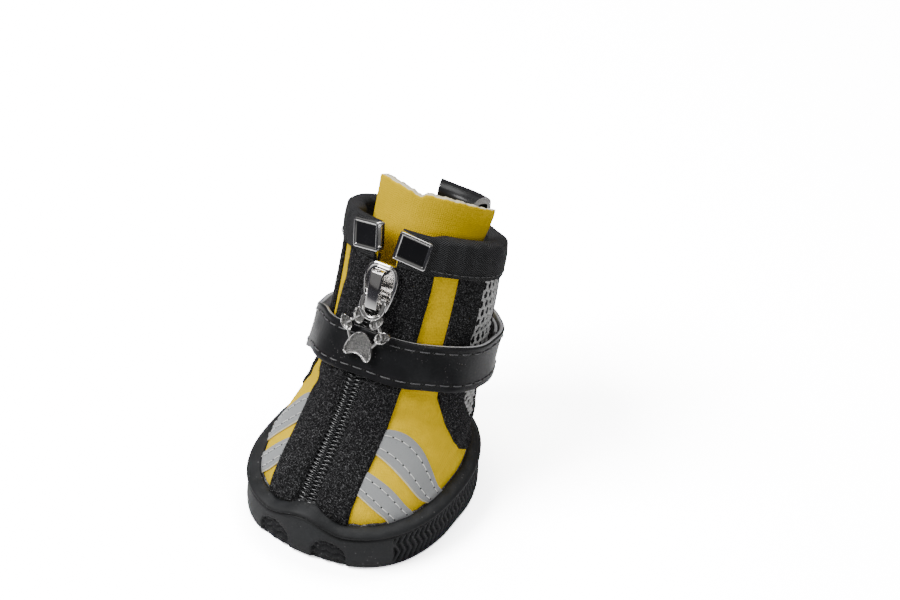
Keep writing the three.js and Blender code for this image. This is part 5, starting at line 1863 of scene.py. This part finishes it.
def pull_ring(maker):
    """Round wire bent to a ring, with a straight bar through the bridge."""
    half, sides = PULL_THICKNESS / 2, 12
    reach = BRIDGE_WIDTH / 2 + 2 * FIT_GAP + half
    bottom = reach + half - RING_LENGTH
    path = even_loop(np.vstack([
        arc(0, bottom, reach, reach, math.pi, TWO_PI, 15),
        [(reach, bottom * 0.5), (reach, -0.6), (reach - 0.4, -0.08), (reach - 1.0, 0), (0, 0),
         (-reach + 1.0, 0), (-reach + 0.4, -0.08), (-reach, -0.6), (-reach, bottom * 0.5)],
    ]), 90)
    ahead = unit(np.roll(path, -1, axis=0) - np.roll(path, 1, axis=0))
    aside = np.stack([ahead[:, 1], -ahead[:, 0]], -1)
    angle = TWO_PI * np.arange(sides) / sides
    across, out = (half * np.sign(part) * np.abs(part) ** 0.8 for part in (np.cos(angle), np.sin(angle)))
    wire = np.concatenate([path[:, None] + aside[:, None] * across[:, None],
                           np.broadcast_to(0.95 * out[:, None], (len(path), sides, 1))], -1)
    faces = grid_faces(len(path) + 1, sides, wrapped=True)[:, ::-1] % (len(path) * sides)
    maker.add(pull_to_boot(wire), faces)


def cast_plate(maker, outline, profile):
    """Plate of the pull with a raised rim round a sunk ground."""
    profile = [(inset, share * PULL_THICKNESS / 2) for inset, share in profile]
    relief_plate(maker, outline, profile, pull_to_boot, sunk_from=8)


def paw_pad(maker, middle):
    w, h = PAD_WIDTH / 2, PAD_LENGTH / 2
    right = np.vstack([
        curve_points((0, -h * 0.72), (w * 0.25, -h * 0.74), (w * 0.5, -h))[:-1],
        curve_points((w * 0.5, -h), (w * 0.92, -h * 1.15), (w * 0.86, -h * 0.5))[:-1],
        curve_points((w * 0.86, -h * 0.5), (w * 0.76, h * 0.35), (w * 0.45, h), (0, h)),
    ])
    left = right[::-1][1:-1] * (-1, 1)
    cast_plate(maker, even_loop(np.vstack([right, left]) + (0, middle), 110), PAD_PROFILE)


def paw_toes(maker, middle, side):
    """Open oval toes of one side, with round necks from one to the next and to the pad."""
    angle = TWO_PI * np.arange(60) / 60
    centres = []
    for across, up, turned in PAW_TOES:
        centres.append((side * PAD_WIDTH * across, middle + PAD_LENGTH * up))
        oval = np.stack([TOE_WIDTH / 2 * np.cos(angle), TOE_LENGTH / 2 * np.sin(angle)], -1)
        c, s = math.cos(side * turned), math.sin(side * turned)
        cast_plate(maker, oval @ np.array([(c, s), (-s, c)]) + centres[-1], TOE_PROFILE)
    lower, upper = np.array(centres)
    necks = np.array([[(*lower, -0.05), (*(lower + stop) / 2, 0), (*stop, -0.05)]
                      for stop in (upper, np.array((side * PAD_WIDTH * 0.3, middle)))])
    out = pull_to_boot([(0, 0, 1)]) - pull_to_boot([(0, 0, 0)])
    tubes(maker, pull_to_boot(necks), np.broadcast_to(out, necks.shape), TOE_NECK / 2, 8)


class BOOT_OT_pull(BootOperator, bpy.types.Operator):
    """Makes the pull: a ring through the bridge and an open paw with raised rims"""

    bl_idname = "boot.pull"
    bl_label = "Make Zip Pull"

    def execute(self, context):
        maker = Maker()
        middle = -RING_LENGTH - PAD_TO_RING - PAD_LENGTH / 2
        pull_ring(maker)
        paw_pad(maker, middle)
        for side in (-1, 1):
            paw_toes(maker, middle, side)
        maker.make("paw_pull", [nickel(), cast_nickel()], body="pull",
                   replaces=("zip_pull",), sharp=40)
        return {"FINISHED"}


# Camera as the photograph's: turned, raised and rolled, from a set distance
CAMERA_TURN = math.radians(27.0)
CAMERA_RISE = math.radians(37.81)
CAMERA_ROLL = math.radians(3.0)
CAMERA_DISTANCE = 700.0
CAMERA_ASIDE = 20.71
CAMERA_ABOVE = 45.23
CAMERA_LENS = 113.4


def place_camera():
    sin_t, cos_t = math.sin(CAMERA_TURN), math.cos(CAMERA_TURN)
    sin_r, cos_r = math.sin(CAMERA_RISE), math.cos(CAMERA_RISE)
    back = Vector((sin_t * cos_r, -cos_t * cos_r, sin_r))
    right = Vector((cos_t, sin_t, 0))
    up = back.cross(right)
    rolled_right = right * math.cos(CAMERA_ROLL) + up * math.sin(CAMERA_ROLL)
    rolled_up = -right * math.sin(CAMERA_ROLL) + up * math.cos(CAMERA_ROLL)
    place = Vector((0, SOLE_MIDDLE_Y, 0)) + rolled_right * CAMERA_ASIDE + rolled_up * CAMERA_ABOVE
    place += back * CAMERA_DISTANCE
    camera = bpy.data.objects.new("camera", bpy.data.cameras.new("camera"))
    camera.data.lens = CAMERA_LENS
    camera.data.sensor_width = 36
    camera.data.clip_start = 0.01
    turned = Matrix((rolled_right, rolled_up, back)).transposed().to_4x4()
    camera.matrix_world = Matrix.Translation(place * MM) @ turned
    bpy.context.scene.collection.objects.link(camera)
    bpy.context.scene.camera = camera


KEY_POWER = 6.2
TOP_POWER = 4.5
FILL_POWER = 1.6
WORLD_STRENGTH = 0.2
# Reach of the floor and the place that the lights point at, in metres
FLOOR_REACH = 1.5
LIGHT_TARGET = (0, 0, 0.03)


def soft_light(name, place, size, power):
    lamp = bpy.data.lights.new(name, "AREA")
    lamp.shape = "RECTANGLE"
    lamp.size, lamp.size_y = size
    lamp.energy = power
    light = bpy.data.objects.new(name, lamp)
    light.location = place
    light.rotation_euler = (Vector(LIGHT_TARGET) - Vector(place)).to_track_quat("-Z", "Y").to_euler()
    bpy.context.scene.collection.objects.link(light)


class BOOT_OT_stage(BootOperator, bpy.types.Operator):
    """Makes the pale floor, the soft lights and the camera"""

    bl_idname = "boot.stage"
    bl_label = "Make Stage"

    def execute(self, context):
        place_camera()
        mesh = bpy.data.meshes.new("floor")
        corners = ((-1, -1), (1, -1), (1, 1), (-1, 1))
        mesh.from_pydata([(x * FLOOR_REACH, y * FLOOR_REACH, 0) for x, y in corners], [], [(0, 1, 2, 3)])
        mesh.materials.append(pale_floor())
        floor = bpy.data.objects.new("floor", mesh)
        context.scene.collection.objects.link(floor)
        soft_light("key", (-0.35, -0.3, 0.6), (0.35, 0.35), KEY_POWER)
        soft_light("top", (-0.05, 0.3, 0.7), (0.6, 0.4), TOP_POWER)
        soft_light("fill", (0.6, -0.35, 0.35), (0.3, 0.4), FILL_POWER)
        world = bpy.data.worlds.new("studio")
        world.use_nodes = True
        world.node_tree.nodes["Background"].inputs["Color"].default_value = (1, 1, 1, 1)
        world.node_tree.nodes["Background"].inputs["Strength"].default_value = WORLD_STRENGTH
        context.scene.world = world
        return {"FINISHED"}


OPERATORS = (
    BOOT_OT_stage, BOOT_OT_sole, BOOT_OT_insole, BOOT_OT_upper, BOOT_OT_tongue, BOOT_OT_zip_bands,
    BOOT_OT_zip_chain, BOOT_OT_side_panels, BOOT_OT_tapes, BOOT_OT_heel_stay, BOOT_OT_binding,
    BOOT_OT_pull_loop, BOOT_OT_clasps, BOOT_OT_strap, BOOT_OT_slider, BOOT_OT_pull,
)


class BOOT_PT_panel(bpy.types.Panel):
    """Buttons and settings of the dog boot"""

    bl_label = "Dog Boot"
    bl_idname = "BOOT_PT_panel"
    bl_space_type = "VIEW_3D"
    bl_region_type = "UI"
    bl_category = "Dog Boot"

    def draw(self, context):
        layout = self.layout
        for operator in OPERATORS:
            layout.operator(operator.bl_idname)
        for settings in (context.scene.boot_sizes, context.scene.boot_colours):
            for name in type(settings).__annotations__:
                layout.prop(settings, name)


CLASSES = (BootSizes, BootColours, *OPERATORS, BOOT_PT_panel)


def register():
    for each in CLASSES:
        bpy.utils.register_class(each)
    bpy.types.Scene.boot_sizes = PointerProperty(type=BootSizes)
    bpy.types.Scene.boot_colours = PointerProperty(type=BootColours)


def unregister():
    del bpy.types.Scene.boot_colours
    del bpy.types.Scene.boot_sizes
    for each in reversed(CLASSES):
        bpy.utils.unregister_class(each)


def main():
    register()
    for operator in OPERATORS:
        family, name = operator.bl_idname.split(".")
        getattr(getattr(bpy.ops, family), name)()


if __name__ == "__main__":
    main()
